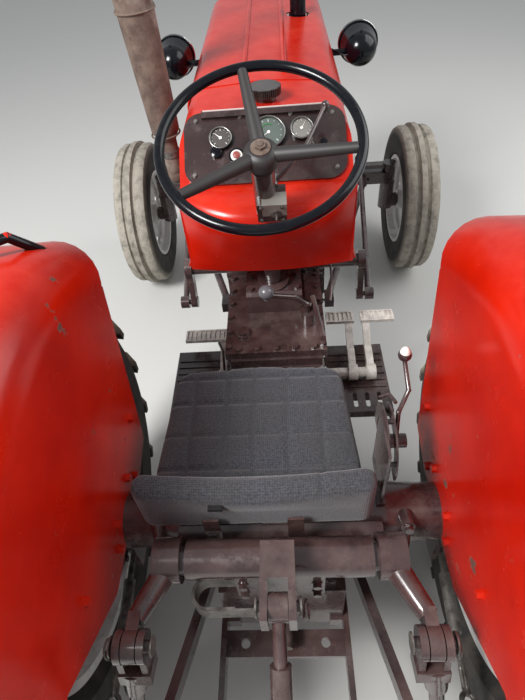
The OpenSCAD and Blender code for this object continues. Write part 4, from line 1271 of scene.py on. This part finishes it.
@dataclass
class FenderTrim:
    """Bolts and edge beads of the fenders, and the sleeve of the grab handle."""

    inner: float = 375.0
    outer: float = 727.0
    crown: float = 690.0
    start: float = 57.0
    end: float = 166.0
    handle: tuple = ((-430, -72, 61), (-450, -8, 66), (-482, 32, 70.5), (-532, 22, 73.5), (-562, -24, 74))

    def spot(self, x: float, out: float, turn: float) -> Vector:
        """Gives a place by the fender's crown.

        Args:
            x: Millimetres to the right.
            out: Millimetres outside the crown.
            turn: Degrees round the rear axle, up from the front.

        Returns:
            The place in the design frame.
        """
        r, t = self.crown + out, math.radians(turn)
        return Vector((x, r * math.cos(t), REAR_R + r * math.sin(t)))

    def build(self) -> None:
        """Builds both sides."""
        for side in Side:
            s = side.value
            bolts = Shape()
            for y, z in ((-60, 690), (60, 690), (-96, 640), (96, 640), (-250, 770), (190, 760)):
                bolts.bolt((s * self.inner, y, z), (-s, 0, 0), 17, 9)
            bolts.make(f"fender_bolts_{side.word}", RED, "red_paint")
            turns = [self.start + (self.end - self.start) * k / 60 for k in range(61)]
            bead = Shape().pipe([self.spot(s * (self.outer - 3), -70, t) for t in turns], 4.5)
            bead.make(f"fender_edge_bead_{side.word}", RED, "red_paint")
        line = [self.spot(*knot) for knot in self.handle]
        line[0], line[-1] = line[0].lerp(line[1], 0.3), line[-1].lerp(line[-2], 0.3)
        Shape().pipe(line, 10.6, 14).make("grab_handle_sleeve", BLACK, "red_paint")


@dataclass
class Controls:
    """Knobs and small rods beside the seat and on the gearbox, and the ribs of the fuel cap."""

    cap_low: float = 1274.0
    cap_high: float = 1294.0
    cap_ribs: int = 48

    def build(self) -> None:
        """Builds the knobs, the rods and the ribs."""
        knob = Shape().ball((290, 182, 966), 15.5, (0.8, 0.8, 1.25), 20)
        knob.make("lift_knob", Plain("#e8e6de", 0.3), "black_gloss")
        grey = Shape().ball((-17, 500, 891), 21, (1, 1, 0.95), 24)
        grey.lathe((-17, 500, 866), (0.1, 0, 1), [(9, 0), (9, 6), (12, 8)], 18)
        grey.make("gear_knob", Plain("#58585b", 0.3), "black_gloss")
        rods = Shape().pipe([(190, 833, 735), (186, 740, 742), (178, 660, 738), (173, 639, 728)], 4)
        rods.pipe([(238, 146, 862), (262, 150, 868), (270, 120, 875)], 4.5)
        rods.pipe([(-184, 560, 500), (-184, 600, 560), (-200, 640, 560)], 4.5)
        rods.make("small_control_rods", BROWN, "chassis_paint")
        ribs = Shape()
        for p in ring((4, 870, 0), UP, 43, self.cap_ribs):
            ribs.rod((p.x, p.y, self.cap_low), (p.x, p.y, self.cap_high), 2.1, 1.7, n=8)
        ribs.make("fuel_cap_ribs", NODE_FINISH["fuel_cap"], "chassis_paint")


@dataclass
class LinkageTrim:
    """Washers and ring pins of the rear linkage, and the collars of its ball ends."""

    rod_x: float = 277.0
    rod_pin: tuple = (-322.0, 743.0)
    ball: tuple = (-790.0, 430.0)

    def build(self) -> None:
        """Builds the trim on each moving body."""
        for side in Side:
            s, word = side.value, side.word
            pin = Shape()
            for dx in (-38, 38):
                pin.lathe((s * self.rod_x + dx, *self.rod_pin), (dx, 0, 0), [(19, 0), (19, 3), (9, 3.4)], 20)
            pin.pipe(ring((s * (self.rod_x + 48), -322, 728), (1, 0, 0.2), 17, 24), 2.4, 8, closed=True)
            pin.make(f"lift_rod_pin_{word}", STEEL, "bare_steel", f"lift_rod_{word}")
            link = Shape()
            for x, out in ((394, s), (356, -s)):
                link.lathe((s * x, *self.ball), (out, 0, 0), [(25, 0), (20, 3), (12, 3.4)], 24)
            link.make(f"link_ball_{word}", STEEL, "bare_steel", f"lower_link_{word}")
        top = Shape()
        for dx in (-39, 39):
            top.lathe((dx, -275, 800), (dx, 0, 0), [(18, 0), (18, 4), (9, 4.4)], 20)
        top.pipe(ring((52, -275, 786), (1, 0, 0.2), 16, 24), 2.4, 8, closed=True)
        top.make("top_link_pin", STEEL, "bare_steel", "top_link")


@dataclass
class Stage:
    """Plain floor, soft lights and the camera that took the photo."""

    eye: tuple[float, float, float] = (43.0, -570.0, 1790.0)
    pitch: float = 46.4
    yaw: float = 4.6
    roll: float = -5.9
    focal_px: float = 508.0
    long_side_px: float = 700.0
    sensor_mm: float = 36.0
    floor_half: float = 9.0
    sky: float = 0.54
    aim: tuple[float, float, float] = (0.0, 0.0, 0.8)
    lamps: tuple = (("key", (-2.4, -2.2, 4.0), 1.4, 320.0), ("fill", (3.2, 0.6, 3.4), 3.5, 110.0))

    def build(self) -> None:
        """Builds the floor, the lights and the camera."""
        data = bpy.data.meshes.new("floor")
        half = self.floor_half
        data.from_pydata([(-half, -half, 0), (half, -half, 0), (half, half, 0), (-half, half, 0)], [], [(0, 1, 2, 3)])
        floor = bpy.data.objects.new("floor", data)
        floor.location.z = -0.001
        bpy.context.scene.collection.objects.link(floor)
        data.materials.append(Plain("#c9c8c4", 0.9).material())
        self._lights()
        self._camera()

    def _lights(self) -> None:
        """Builds the sky's light and the two soft lamps."""
        world = bpy.data.worlds.new("studio")
        world.use_nodes = True
        sky = world.node_tree.nodes["Background"]
        sky.inputs[0].default_value = linear("#e9edf2")
        sky.inputs[1].default_value = self.sky
        bpy.context.scene.world = world
        for name, place, size, watts in self.lamps:
            lamp = bpy.data.lights.new(name, "AREA")
            lamp.size, lamp.energy = size, watts
            held = bpy.data.objects.new(name, lamp)
            held.location = place
            held.rotation_euler = (Vector(self.aim) - Vector(place)).to_track_quat("-Z", "Y").to_euler()
            bpy.context.scene.collection.objects.link(held)

    def _camera(self) -> None:
        """Builds the camera where the photo was taken and sets the view transform."""
        yaw, pitch, roll = (math.radians(v) for v in (self.yaw, self.pitch, self.roll))
        ahead = Vector((-math.sin(yaw) * math.cos(pitch), math.cos(yaw) * math.cos(pitch), -math.sin(pitch)))
        right = Vector((math.cos(yaw), math.sin(yaw), 0))
        up = right.cross(ahead)
        right, up = (
            math.cos(roll) * right + math.sin(roll) * up,
            -math.sin(roll) * right + math.cos(roll) * up,
        )
        lens = bpy.data.cameras.new("photo_camera")
        lens.sensor_width = self.sensor_mm
        lens.lens = self.focal_px / self.long_side_px * self.sensor_mm
        lens.clip_start = 0.02
        camera = bpy.data.objects.new("photo_camera", lens)
        camera.matrix_world = Matrix.Translation(at(*self.eye)) @ Matrix((right, up, -ahead)).transposed().to_4x4()
        bpy.context.scene.collection.objects.link(camera)
        bpy.context.scene.camera = camera
        bpy.context.scene.view_settings.view_transform = "Standard"


def main() -> None:
    """Builds every sub-assembly in order and reports each."""
    LOG.setLevel(logging.INFO)
    LOG.addHandler(logging.StreamHandler())
    dress_frame()
    LOG.info("frame dressed")
    parts = (
        Dash(), Steering(), Seat(), Lamps(), Castings(), Exhaust(), FenderTrim(), Controls(), LinkageTrim(),
        RoadWheels(), Stage(),
    )
    for part in parts:
        part.build()
        LOG.info("%s built", type(part).__name__)


if __name__ == "__main__":
    main()
